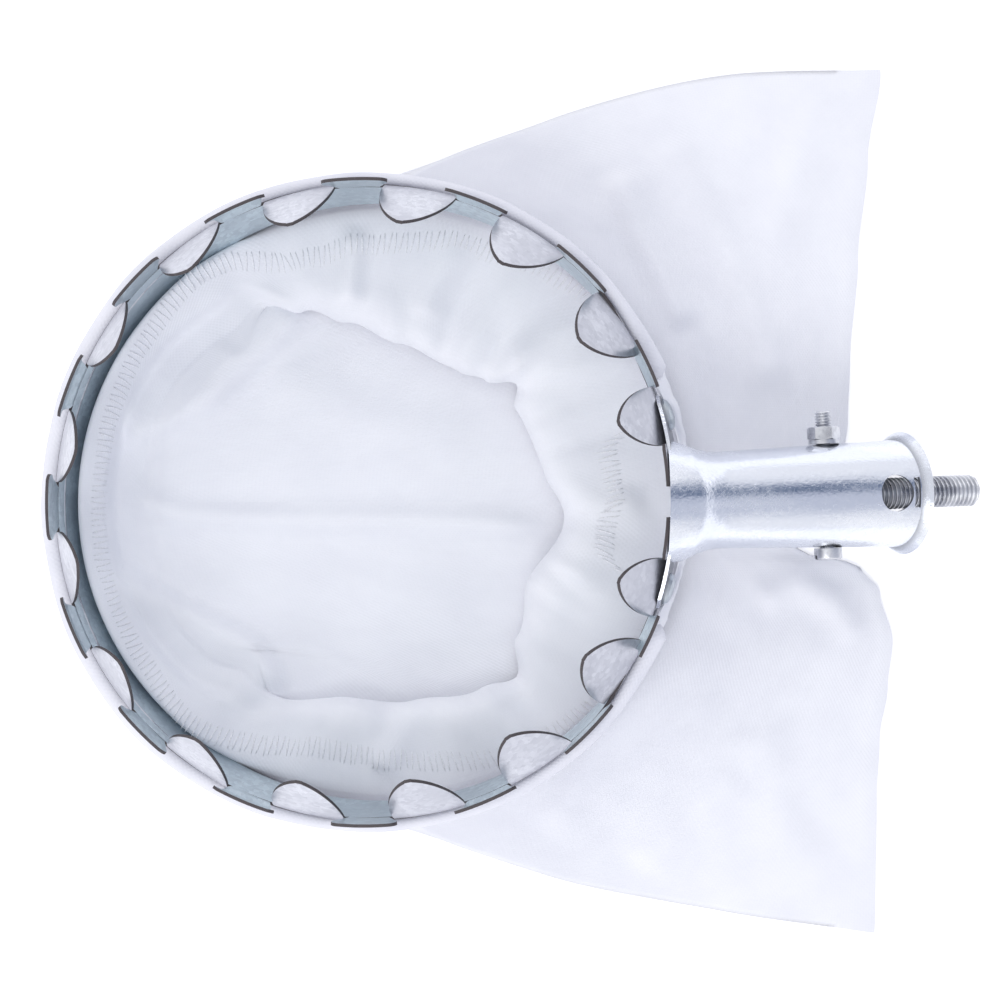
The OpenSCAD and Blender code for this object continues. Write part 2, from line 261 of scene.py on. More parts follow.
def new_group(kind: GroupKind, inputs: dict[str, tuple[str, object]],
              outputs: dict[str, str]) -> tuple[Graph, bpy.types.NodeOutputs, bpy.types.NodeInputs]:
    """Starts a shader node group with its sockets.

    Args:
        kind: Which shared effect it is.
        inputs: (socket type, default) by name.
        outputs: Socket type by name.

    Returns:
        The graph, the sockets that bring the group's inputs and those that take its outputs.
    """
    tree = bpy.data.node_groups.new(kind.value, "ShaderNodeTree")
    for name, (socket_type, default) in inputs.items():
        socket = tree.interface.new_socket(name, in_out="INPUT", socket_type=socket_type)
        if default is not None:
            socket.default_value = default
    for name, socket_type in outputs.items():
        tree.interface.new_socket(name, in_out="OUTPUT", socket_type=socket_type)
    graph = Graph(tree)
    return graph, graph.add("NodeGroupInput").outputs, graph.add("NodeGroupOutput").inputs


def spangle_group() -> bpy.types.NodeTree:
    """Builds the crystal pattern of hot-dipped zinc, once.

    Returns:
        A group that puts out a crystal's shade, its gloss change and its height.
    """
    found = bpy.data.node_groups.get(GroupKind.SPANGLE.value)
    if found:
        return found
    g, given, out = new_group(
        GroupKind.SPANGLE,
        {"Vector": ("NodeSocketVector", None), "Size": ("NodeSocketFloat", 0.003)},
        {"Shade": "NodeSocketFloat", "Gloss": "NodeSocketFloat", "Height": "NodeSocketFloat"},
    )
    density = g.math("DIVIDE", 1.0, given["Size"])
    warp = g.add("ShaderNodeTexNoise")
    g.join(given["Vector"], warp.inputs["Vector"])
    g.join(g.math("MULTIPLY", density, 1.3), warp.inputs["Scale"])
    shift = g.vector("SCALE", warp.outputs["Color"], g.math("MULTIPLY", given["Size"], 1.1))
    bent = g.vector("ADD", given["Vector"], shift)
    crystals = g.add("ShaderNodeTexVoronoi", feature="F1")
    g.join(bent, crystals.inputs["Vector"])
    g.join(density, crystals.inputs["Scale"])
    tone = g.add("ShaderNodeSeparateColor")
    g.join(crystals.outputs["Color"], tone.inputs[0])
    rim = g.span(crystals.outputs["Distance"], 0.25, 0.75)
    frost = g.grain(given["Vector"], g.math("MULTIPLY", density, 9.0), 4.0, 0.7)
    feathers = g.math("MULTIPLY", g.math("SUBTRACT", frost, 0.5), 0.55)
    g.join(g.math("ADD", tone.outputs[0], feathers), out["Shade"])
    g.join(g.math("ADD", g.math("MULTIPLY", tone.outputs[1], 0.75), feathers), out["Gloss"])
    worn = g.math("MULTIPLY", rim, -0.4)
    g.join(g.math("ADD", g.math("MULTIPLY", tone.outputs[2], 0.5), worn), out["Height"])
    return g.tree


def cut_edge_group() -> bpy.types.NodeTree:
    """Builds the masks of a sheet's cut faces round an axis, and of the faces turned to the axis that take
    painted light, once.

    Returns:
        A group that puts out a mask for faces along the axis or across the turn, one for faces along the
        axis, and one for faces turned to the axis.
    """
    found = bpy.data.node_groups.get(GroupKind.CUT_EDGE.value)
    if found:
        return found
    g, given, out = new_group(
        GroupKind.CUT_EDGE,
        {
            "Place": ("NodeSocketVector", None),
            "Facing": ("NodeSocketVector", None),
            "Centre": ("NodeSocketVector", None),
            "Axis": ("NodeSocketVector", None),
        },
        {"Any": "NodeSocketFloat", "Along": "NodeSocketFloat", "Inner": "NodeSocketFloat"},
    )
    away = g.vector("SUBTRACT", given["Place"], given["Centre"])
    high = g.vector("DOT_PRODUCT", away, given["Axis"])
    flat = g.vector("SUBTRACT", away, g.vector("SCALE", given["Axis"], high))
    outward = g.vector("NORMALIZE", flat)
    away_from_axis = g.vector("DOT_PRODUCT", given["Facing"], outward)
    facing = g.math("ABSOLUTE", away_from_axis)
    along = g.math("ABSOLUTE", g.vector("DOT_PRODUCT", given["Facing"], given["Axis"]))
    g.join(g.span(facing, 0.3, 0.5, 1.0, 0.0), out["Any"])
    g.join(g.span(along, 0.6, 0.85), out["Along"])
    g.join(g.span(away_from_axis, -0.3, 0.0, 1.0, 0.0), out["Inner"])
    return g.tree


def handling_group() -> bpy.types.NodeTree:
    """Builds the soft smears and fine scratches of handled metal, once.

    Returns:
        A group that puts out smears, scratches and a fine height.
    """
    found = bpy.data.node_groups.get(GroupKind.HANDLING.value)
    if found:
        return found
    g, given, out = new_group(
        GroupKind.HANDLING,
        {
            "Vector": ("NodeSocketVector", None),
            "Smear size": ("NodeSocketFloat", 0.02),
            "Stretch": ("NodeSocketVector", (1.0, 1.0, 1.0)),
        },
        {"Smears": "NodeSocketFloat", "Scratches": "NodeSocketFloat", "Height": "NodeSocketFloat"},
    )
    density = g.math("DIVIDE", 1.0, given["Smear size"])
    stretched = g.vector("MULTIPLY", given["Vector"], given["Stretch"])
    smears = g.grain(stretched, density, 3.0, 0.55)
    fine = g.grain(stretched, g.math("MULTIPLY", density, 14.0), 3.0, 0.6)
    lines = g.span(g.math("ABSOLUTE", g.math("SUBTRACT", fine, 0.5)), 0.0, 0.035, 1.0, 0.0)
    sparse = g.span(smears, 0.5, 0.7)
    g.join(g.span(smears, 0.32, 0.68), out["Smears"])
    g.join(g.math("MULTIPLY", lines, sparse), out["Scratches"])
    g.join(fine, out["Height"])
    return g.tree


def weave_group() -> bpy.types.NodeTree:
    """Builds a fine plain weave from a map whose unit is a metre of cloth, once.

    Returns:
        A group that puts out the threads' height, their openness and a slow shade.
    """
    found = bpy.data.node_groups.get(GroupKind.WEAVE.value)
    if found:
        return found
    g, given, out = new_group(
        GroupKind.WEAVE,
        {"Map": ("NodeSocketVector", None), "Pitch": ("NodeSocketFloat", 0.0007)},
        {"Height": "NodeSocketFloat", "Gap": "NodeSocketFloat", "Slub": "NodeSocketFloat"},
    )
    parts = g.add("ShaderNodeSeparateXYZ")
    half_turns = g.math("DIVIDE", math.pi, given["Pitch"])
    g.join(g.vector("SCALE", given["Map"], half_turns), parts.inputs[0])
    across, down = g.math("SINE", parts.outputs[0]), g.math("SINE", parts.outputs[1])
    over = g.math("MULTIPLY", across, down)
    gap = g.math("MULTIPLY", g.math("ABSOLUTE", across), g.math("ABSOLUTE", down))
    slub = g.grain(given["Map"], 900.0, 3.0, 0.6)
    g.join(g.math("ADD", g.math("MULTIPLY", over, 0.5), g.math("MULTIPLY", slub, 0.6)), out["Height"])
    g.join(g.span(gap, 0.75, 1.0), out["Gap"])
    g.join(g.grain(given["Map"], 60.0, 4.0, 0.55), out["Slub"])
    return g.tree


def start_material(name: str) -> tuple[bpy.types.Material, Graph, bpy.types.Node]:
    """Starts a node material.

    Args:
        name: The finish's name.

    Returns:
        The material, its graph and its Principled BSDF.
    """
    material = bpy.data.materials.new(name)
    material.use_nodes = True
    graph = Graph(material.node_tree)
    return material, graph, material.node_tree.nodes["Principled BSDF"]


def raise_surface(g: Graph, shader: bpy.types.Node, height: Socket, distance: float, strength: float) -> None:
    """Feeds a height through a Bump node into a shader's normal."""
    bump = g.add("ShaderNodeBump")
    bump.inputs["Distance"].default_value = distance
    bump.inputs["Strength"].default_value = strength
    g.join(height, bump.inputs["Height"])
    g.join(bump.outputs[0], shader.inputs["Normal"])


@dataclass(frozen=True)
class ZincFinish:
    """Galvanised sheet with spangle, cut edges and soft smears, and painted light multiplied into its faces
    turned to the axis.
    """

    name: str
    light: Colour
    dark: Colour
    cut: Colour
    spangle: float
    contrast: float
    roughness: float
    centre: Vector
    axis: Vector
    edges_along_only: bool = False
    stretch: tuple[float, float, float] = (1.0, 1.0, 1.0)
    smear: float = 0.02
    metallic: float = 0.9
    # Painted light: a colour multiplied into the faces turned to the axis, white where there is none.
    inside: Colour = (1.0, 1.0, 1.0, 1.0)

    def material(self) -> bpy.types.Material:
        """Builds the finish's material."""
        material, g, shader = start_material(self.name)
        place = g.add("ShaderNodeTexCoord").outputs
        spangle = g.group(spangle_group(), {"Vector": place["Object"], "Size": self.spangle})
        marks = g.group(handling_group(), {
            "Vector": place["Object"], "Stretch": self.stretch, "Smear size": self.smear,
        })
        edge = g.group(cut_edge_group(), {
            "Place": place["Object"], "Facing": place["Normal"], "Centre": self.centre, "Axis": self.axis,
        })
        cut = edge["Along" if self.edges_along_only else "Any"]
        shade = g.math("ADD", g.math("MULTIPLY", spangle["Shade"], self.contrast),
                       g.math("MULTIPLY", marks["Smears"], 0.45))
        both = g.blend(g.span(shade, 0.1, 1.0), self.dark, self.light)
        # Painted light: faces turned to the axis take the inside colour, a painted greenish reflection on the
        # ring and painted shade in the socket's bore.
        sheet = g.blend(edge["Inner"], both, g.blend(1.0, both, self.inside, "MULTIPLY"))
        scratches = g.math("MULTIPLY", marks["Scratches"], 0.3)
        scratched = g.blend(scratches, sheet, (0.85, 0.87, 0.88, 1.0))
        g.join(g.blend(cut, scratched, self.cut), shader.inputs["Base Color"])
        gloss = g.math("MULTIPLY_ADD", spangle["Gloss"], 0.16, self.roughness - 0.06)
        rough = g.math("MULTIPLY_ADD", marks["Smears"], 0.1, gloss)
        g.join(g.math("MULTIPLY_ADD", cut, 0.25, rough), shader.inputs["Roughness"])
        g.join(g.math("MULTIPLY_ADD", cut, -0.45, self.metallic), shader.inputs["Metallic"])
        relief = g.math("ADD", spangle["Height"], g.math("MULTIPLY", marks["Height"], 0.5))
        raise_surface(g, shader, relief, 0.00006, 0.5)
        return material


@dataclass(frozen=True)
class PlatedSteelFinish:
    """Bright zinc-plated hardware with fine pits, soft smears and scratches."""

    name: str
    light: Colour
    dark: Colour
    roughness: float
    smear: float = 0.006

    def material(self) -> bpy.types.Material:
        """Builds the finish's material."""
        material, g, shader = start_material(self.name)
        place = g.add("ShaderNodeTexCoord").outputs["Object"]
        marks = g.group(handling_group(), {"Vector": place, "Smear size": self.smear})
        pits = g.grain(place, 2600.0, 3.0, 0.6)
        smeared = g.math("MULTIPLY", marks["Smears"], 0.7)
        shade = g.math("ADD", smeared, g.math("MULTIPLY", pits, 0.4))
        plate = g.blend(g.span(shade, 0.15, 0.95), self.dark, self.light)
        scratches = g.math("MULTIPLY", marks["Scratches"], 0.4)
        g.join(g.blend(scratches, plate, (0.9, 0.9, 0.9, 1.0)), shader.inputs["Base Color"])
        dull = g.math("MULTIPLY_ADD", marks["Smears"], 0.14, self.roughness)
        g.join(dull, shader.inputs["Roughness"])
        shader.inputs["Metallic"].default_value = 0.95
        raise_surface(g, shader, pits, 0.00003, 0.4)
        return material


@dataclass(frozen=True)
class ClothFinish:
    """Fine white woven cloth with a soft sheen. Its pattern follows the piece's own map, in metres."""

    name: str
    light: Colour
    shaded: Colour
    pitch: float
    depth: float

    def material(self) -> bpy.types.Material:
        """Builds the finish's material."""
        material, g, shader = start_material(self.name)
        chart = g.add("ShaderNodeUVMap", uv_map="cut")
        weave = g.group(weave_group(), {"Map": chart.outputs[0], "Pitch": self.pitch})
        slow = g.blend(g.span(weave["Slub"], 0.3, 0.7), self.shaded, self.light)
        holes = g.math("MULTIPLY", weave["Gap"], 0.1)
        g.join(g.blend(holes, slow, (0.55, 0.58, 0.7, 1.0)), shader.inputs["Base Color"])
        g.join(g.math("MULTIPLY_ADD", weave["Slub"], 0.1, 0.78), shader.inputs["Roughness"])
        shader.inputs["Sheen Weight"].default_value = 0.25
        shader.inputs["Sheen Roughness"].default_value = 0.5
        shader.inputs["Specular IOR Level"].default_value = 0.25
        raise_surface(g, shader, weave["Height"], self.depth, 0.7)
        return material


@dataclass(frozen=True)
class YarnFinish:
    """White sewing thread."""

    name: str
    colour: Colour

    def material(self) -> bpy.types.Material:
        """Builds the finish's material."""
        material, g, shader = start_material(self.name)
        place = g.add("ShaderNodeTexCoord").outputs["Object"]
        fluff = g.grain(place, 3000.0, 3.0, 0.6)
        darker = tuple(c * 0.8 for c in self.colour[:3]) + (1.0,)
        g.join(g.blend(g.span(fluff, 0.3, 0.7), darker, self.colour), shader.inputs["Base Color"])
        g.join(g.math("MULTIPLY_ADD", fluff, 0.2, 0.7), shader.inputs["Roughness"])
        raise_surface(g, shader, fluff, 0.00004, 0.6)
        return material


# The socket's tube and the cross bolt's middle in the row frame, in millimetres
TUBE_ROOT = Vector((36.435, 0.0, 38.615))
TUBE_AXIS = Vector((0.93296, 0.03290, -0.35848)).normalized()
BOLT_CENTRE = Vector((75.619, 1.382, 23.559))
BOLT_AXIS = Vector((-0.0378046, 0.9992629, -0.006666)).normalized()
TUBE_TOP = Vector((0.35799, 0.01977, 0.93351)).normalized()


def mesh_object(name: str, mesh: bpy.types.Mesh) -> bpy.types.Object:
    """Links a mesh into the scene as an object at the origin."""
    piece = bpy.data.objects.new(name, mesh)
    bpy.context.scene.collection.objects.link(piece)
    return piece


def from_bmesh(name: str, bm: bmesh.types.BMesh, smooth_angle: float = 40.0) -> bpy.types.Object:
    """Turns a bmesh into a shaded object and frees it.

    Args:
        name: The piece's name.
        bm: Its mesh, in metres.
        smooth_angle: Edges sharper than this many degrees stay crisp.

    Returns:
        The new object.
    """
    limit = math.radians(smooth_angle)
    for face in bm.faces:
        face.smooth = True
    for edge in bm.edges:
        edge.smooth = len(edge.link_faces) == 2 and edge.calc_face_angle(0.0) < limit
    mesh = bpy.data.meshes.new(name)
    bm.to_mesh(mesh)
    bm.free()
    return mesh_object(name, mesh)


def coat(piece: bpy.types.Object, material: bpy.types.Material) -> None:
    """Gives a piece one finish and takes any other away."""
    piece.data.materials.clear()
    piece.data.materials.append(material)


def frame_matrix(origin: Vector, x_axis: Vector, z_axis: Vector) -> Matrix:
    """Builds the placing of a piece drawn round its own axis.

    Args:
        origin: Where its origin goes, in metres.
        x_axis: Where its X points.
        z_axis: Where its Z points.

    Returns:
        The matrix from the piece's own frame to the row frame.
    """
    z = z_axis.normalized()
    x = (x_axis - z * x_axis.dot(z)).normalized()
    y = z.cross(x)
    matrix = Matrix((x, y, z)).transposed().to_4x4()
    matrix.translation = origin
    return matrix


def turned(place: Matrix, radius: float, angle: float, height: float) -> Vector:
    """Returns a point round a piece's own Z, in metres.

    Args:
        place: The matrix of the piece.
        radius: Distance from its Z, in millimetres.
        angle: Turn round its Z, in radians.
        height: Height along its Z, in millimetres.
    """
    return place @ Vector((radius * math.cos(angle) * MM, radius * math.sin(angle) * MM, height * MM))


def lathe(bm: bmesh.types.BMesh, profile: Sequence[tuple[float, float]], sides: int, place: Matrix,
          closed: bool = False) -> None:
    """Turns a profile round Z and adds it to a mesh.

    Args:
        bm: The mesh that it goes into, in metres.
        profile: (radius, height) points in millimetres, from the lower pole to the upper.
        sides: How many sides a turn has.
        place: The matrix of the turned piece.
        closed: Whether the profile's last point joins its first.
    """
    rings: list[list[bmesh.types.BMVert]] = []
    for radius, height in profile:
        turns = [2 * math.pi * k / sides for k in range(sides if radius > 1e-6 else 1)]
        rings.append([bm.verts.new(turned(place, radius, turn, height)) for turn in turns])
    for low, high in zip(rings, rings[1:] + (rings[:1] if closed else [])):
        for k in range(sides):
            n = (k + 1) % sides
            if len(low) == 1:
                bm.faces.new((low[0], high[n], high[k]))
            elif len(high) == 1:
                bm.faces.new((low[k], low[n], high[0]))
            else:
                bm.faces.new((low[k], low[n], high[n], high[k]))


class TreeInput(Enum):
    """Kinds of input that a geometry tree has."""

    NUMBER = "NodeSocketFloat"
    COUNT = "NodeSocketInt"
    MATERIAL = "NodeSocketMaterial"


class GeometryTree:
    """A geometry node tree with named inputs, built in the script."""

    def __init__(self, name: str, inputs: dict[str, TreeInput]) -> None:
        """Makes the tree and its sockets.

        Args:
            name: The tree's name.
            inputs: The kind of each named input.
        """
        self.tree = bpy.data.node_groups.new(name, "GeometryNodeTree")
        self.tree.interface.new_socket("Geometry", in_out="INPUT", socket_type="NodeSocketGeometry")
        self.keys = {
            label: self.tree.interface.new_socket(label, in_out="INPUT", socket_type=kind.value).identifier
            for label, kind in inputs.items()
        }
        self.tree.interface.new_socket("Geometry", in_out="OUTPUT", socket_type="NodeSocketGeometry")
        self.graph = Graph(self.tree)
        self.given = self.graph.add("NodeGroupInput").outputs
        self.out = self.graph.add("NodeGroupOutput").inputs[0]

    def close(self, geometry: Socket) -> None:
        """Ends the tree with real geometry and its material."""
        real = self.graph.add("GeometryNodeRealizeInstances")
        dressed = self.graph.add("GeometryNodeSetMaterial")
        self.graph.join(geometry, real.inputs[0])
        self.graph.join(real.outputs[0], dressed.inputs["Geometry"])
        self.graph.join(self.given["Material"], dressed.inputs["Material"])
        self.graph.join(dressed.outputs[0], self.out)

    def grow(self, carrier: bpy.types.Mesh, name: str, values: dict[str, object]) -> bpy.types.Mesh:
        """Runs the tree on a mesh and returns the plain result.

        Args:
            carrier: The mesh that the tree is given.
            name: Name of the new mesh.
            values: The named inputs.

        Returns:
            The grown mesh, with no modifier left on it.
        """
        holder = mesh_object(name + "_carrier", carrier)
        modifier = holder.modifiers.new("Grow", "NODES")
        modifier.node_group = self.tree
        for label, value in values.items():
            modifier[self.keys[label]] = value
        graph = bpy.context.evaluated_depsgraph_get()
        mesh = bpy.data.meshes.new_from_object(holder.evaluated_get(graph))
        mesh.name = name
        bpy.data.objects.remove(holder)
        return mesh


def rolled_thread_tree() -> GeometryTree:
    """Builds the tree that rolls a grid into a screw thread along +Z.

    Returns:
        The tree, whose sizes are in metres.
    """
    made = GeometryTree("Rolled thread", {
        "Radius": TreeInput.NUMBER, "Depth": TreeInput.NUMBER, "Pitch": TreeInput.NUMBER,
        "Length": TreeInput.NUMBER, "Sides": TreeInput.COUNT, "Rows": TreeInput.COUNT,
        "Material": TreeInput.MATERIAL,
    })
    g, given = made.graph, made.given
    grid = g.add("GeometryNodeMeshGrid")
    g.join(g.math("ADD", given["Sides"], 1.0), grid.inputs["Vertices X"])
    g.join(given["Rows"], grid.inputs["Vertices Y"])
    where = g.add("ShaderNodeSeparateXYZ")
    g.join(g.add("GeometryNodeInputPosition").outputs[0], where.inputs[0])
    turn = g.math("ADD", where.outputs[0], 0.5)
    level = g.math("ADD", where.outputs[1], 0.5)
    angle = g.math("MULTIPLY", turn, 2 * math.pi)
    height = g.math("MULTIPLY", level, given["Length"])
    wound = g.math("SUBTRACT", g.math("DIVIDE", height, given["Pitch"]), turn)
    phase = g.math("FRACT", g.math("ADD", wound, 1.0))
    ridge = g.math("MULTIPLY", g.math("ABSOLUTE", g.math("SUBTRACT", phase, 0.5)), 2.0)
    flank = g.span(ridge, 0.12, 0.88)
    lead = g.math("DIVIDE", g.math("SUBTRACT", given["Length"], height), given["Depth"])
    start = g.math("DIVIDE", height, given["Depth"])
    runout = g.math("MINIMUM", lead, g.math("ADD", start, 0.3))
    faded = g.math("MINIMUM", g.math("SUBTRACT", 1.0, flank), runout)
    kept = g.math("MAXIMUM", faded, -0.1)
    root = g.math("SUBTRACT", given["Radius"], given["Depth"])
    reach = g.math("ADD", root, g.math("MULTIPLY", kept, given["Depth"]))
    inner = g.math("MULTIPLY", g.math("GREATER_THAN", level, 1e-5), g.math("LESS_THAN", level, 1.0 - 1e-5))
    radius = g.math("MULTIPLY", reach, inner)
    spot = g.add("ShaderNodeCombineXYZ")
    g.join(g.math("MULTIPLY", radius, g.math("COSINE", angle)), spot.inputs[0])
    g.join(g.math("MULTIPLY", radius, g.math("SINE", angle)), spot.inputs[1])
    g.join(height, spot.inputs[2])
    moved = g.add("GeometryNodeSetPosition")
    g.join(grid.outputs[0], moved.inputs["Geometry"])
    g.join(spot.outputs[0], moved.inputs["Position"])
    merged = g.add("GeometryNodeMergeByDistance")
    merged.inputs["Distance"].default_value = 1e-6
    g.join(moved.outputs[0], merged.inputs["Geometry"])
    made.close(merged.outputs[0])
    return made


def stitch_tree() -> GeometryTree:
    """Builds the tree that lays one stitch at each point of a row.

    Returns:
        The tree. A row's points carry the attributes lie and rise, the stitch's own X and Z.
    """
    made = GeometryTree("Stitch row", {
        "Length": TreeInput.NUMBER, "Thickness": TreeInput.NUMBER, "Material": TreeInput.MATERIAL,
    })
    g, given = made.graph, made.given
    grain = g.add("GeometryNodeMeshUVSphere")
    grain.inputs["Segments"].default_value = 6
    grain.inputs["Rings"].default_value = 4
    grain.inputs["Radius"].default_value = 0.5
    size = g.add("ShaderNodeCombineXYZ")
    g.join(given["Length"], size.inputs[0])
    g.join(given["Thickness"], size.inputs[1])
    g.join(given["Thickness"], size.inputs[2])
    lie = g.add("GeometryNodeInputNamedAttribute", data_type="FLOAT_VECTOR")
    lie.inputs["Name"].default_value = "lie"
    up = g.add("GeometryNodeInputNamedAttribute", data_type="FLOAT_VECTOR")
    up.inputs["Name"].default_value = "rise"
    first = g.add("FunctionNodeAlignRotationToVector", axis="X")
    g.join(lie.outputs[0], first.inputs["Vector"])
    second = g.add("FunctionNodeAlignRotationToVector", axis="Z", pivot_axis="X")
    g.join(first.outputs[0], second.inputs["Rotation"])
    g.join(up.outputs[0], second.inputs["Vector"])
    placed = g.add("GeometryNodeInstanceOnPoints")
    g.join(given["Geometry"], placed.inputs["Points"])
    g.join(grain.outputs[0], placed.inputs["Instance"])
    g.join(second.outputs[0], placed.inputs["Rotation"])
    g.join(size.outputs[0], placed.inputs["Scale"])
    made.close(placed.outputs[0])
    return made


@dataclass
class Hardware:
    """The stud with its eye, and the cross bolt.

    Sizes are in millimetres. A thread's depth is a share of its pitch, and its rows are those of one turn.
    """

    steel: bpy.types.Material
    stud_r: float = 4.0
    shank_r: float = 3.55
    stud_l: float = 43.0
    thread_l: float = 35.5
    eye_r: float = 7.0
    eye_w: float = 7.0
    eye_edge: float = 0.6
    eye_play: float = 0.3
    shank_start: float = 4.2
    stud_pitch: float = 1.25
    bolt_r: float = 2.0
    bolt_l: float = 34.0
    bolt_pitch: float = 0.7
    bolt_thread: float = 18.0
    bolt_seat: float = 12.94
    head_r: float = 3.5
    head_h: float = 2.8
    slot_half: float = 0.5
    slot_floor: float = 1.1
    head_steps: int = 22
    thread_depth: float = 0.61
    thread_sides: int = 28
    thread_rows: int = 10
    tree: GeometryTree = field(default_factory=rolled_thread_tree)

    def thread(self, bm: bmesh.types.BMesh, radius: float, pitch: float, length: float,
               place: Matrix) -> None:
        """Adds a rolled thread to a mesh.

        Args:
            bm: The mesh that it goes into.
            radius: Outer radius.
            pitch: Rise of one turn.
            length: Length of the thread.
            place: The matrix of its start.
        """
        mesh = self.tree.grow(bpy.data.meshes.new("thread_start"), "thread", {
            "Radius": radius * MM, "Depth": self.thread_depth * pitch * MM, "Pitch": pitch * MM,
            "Length": length * MM, "Sides": self.thread_sides,
            "Rows": int(length / pitch * self.thread_rows) + 2, "Material": self.steel,
        })
        mesh.transform(place)
        bm.from_mesh(mesh)

    def eye_stud(self) -> bpy.types.Object:
        """Builds the stud: a flat-sided eye, a plain shank and a rolled thread."""
        bm = bmesh.new()
        place = frame_matrix(BOLT_CENTRE * MM, TUBE_TOP, TUBE_AXIS)
        across = frame_matrix(BOLT_CENTRE * MM, TUBE_AXIS, BOLT_AXIS)
        hole, half = self.bolt_r + self.eye_play, self.eye_w / 2
        rim, edge = self.eye_r, self.eye_edge
        lathe(bm, ((hole, -half), (rim - edge, -half), (rim, -half + edge), (rim, half - edge),
                   (rim - edge, half), (hole, half)), 40, across, closed=True)
        shank, r = self.stud_l - self.thread_l, self.shank_r
        lathe(bm, ((0, self.shank_start), (r, self.shank_start), (r, shank), (r - 0.3, shank + 0.5),
                   (0, shank + 0.5)), 32, place)
        start = place @ Matrix.Translation((0, 0, shank * MM))
        self.thread(bm, self.stud_r, self.stud_pitch, self.thread_l, start)
        bmesh.ops.remove_doubles(bm, verts=bm.verts, dist=1e-7)
        bmesh.ops.recalc_face_normals(bm, faces=bm.faces)
        piece = from_bmesh("eye_stud_threaded", bm, 50)
        coat(piece, self.steel)
        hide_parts("eye_stud")
        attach(piece, STUD_BODY)
        return piece

    def head_half(self, bm: bmesh.types.BMesh, profile: Sequence[tuple[float, float]], side: int,
                  place: Matrix) -> None:
        """Adds the half of the bolt's head on one side of its slot.

        Args:
            bm: The mesh that it goes into.
            profile: (radius, height) points from the head's top to its seat.
            side: Which half, -1 or 1.
            place: The matrix of the bolt.
        """
        start = math.asin(self.slot_half / self.head_r)
        arc = [start + (math.pi - 2 * start) * k / self.head_steps for k in range(self.head_steps + 1)]
        rows = []
        for radius, height in profile:
            spots = [(radius * math.cos(a), side * max(radius * math.sin(a), self.slot_half)) for a in arc]
            rows.append([bm.verts.new(place @ Vector((x * MM, y * MM, height * MM))) for x, y in spots])
        for one, two in zip(rows, rows[1:]):
            for k in range(self.head_steps):
                bm.faces.new((one[k], one[k + 1], two[k + 1], two[k]))
            bm.faces.new((one[0], two[0], two[-1], one[-1]))
        bm.faces.new(rows[0])
        bm.faces.new(rows[-1])

    def cross_bolt(self) -> bpy.types.Object:
        """Builds the bolt: a slotted cheese head, a plain shank and a thread under the nut."""
        bm = bmesh.new()
        place = frame_matrix(BOLT_CENTRE * MM, TUBE_AXIS, BOLT_AXIS)
        seat, low, r = -self.bolt_seat, -self.bolt_seat - self.head_h, self.head_r
        profile = ((r - 0.5, low), (r - 0.15, low + 0.15), (r, low + 0.5), (r, seat))
        for side in (-1, 1):
            self.head_half(bm, profile, side, place)
        floor = low + self.slot_floor
        lathe(bm, ((0, floor), (r - 0.02, floor), (r - 0.02, seat), (0, seat)), 2 * self.head_steps, place)
        end, r = seat + self.bolt_l - self.bolt_thread, self.bolt_r
        lathe(bm, ((0, seat), (r, seat), (r, end), (r - 0.3, end + 0.3), (0, end + 0.3)), 32, place)
        start = place @ Matrix.Translation((0, 0, end * MM))
        self.thread(bm, self.bolt_r, self.bolt_pitch, self.bolt_thread, start)
        bmesh.ops.remove_doubles(bm, verts=bm.verts, dist=1e-7)
        bmesh.ops.recalc_face_normals(bm, faces=bm.faces)
        piece = from_bmesh("cross_bolt_threaded", bm, 50)
        coat(piece, self.steel)
        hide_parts("cross_bolt")
        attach(piece, HEAD_BODY)
        return piece


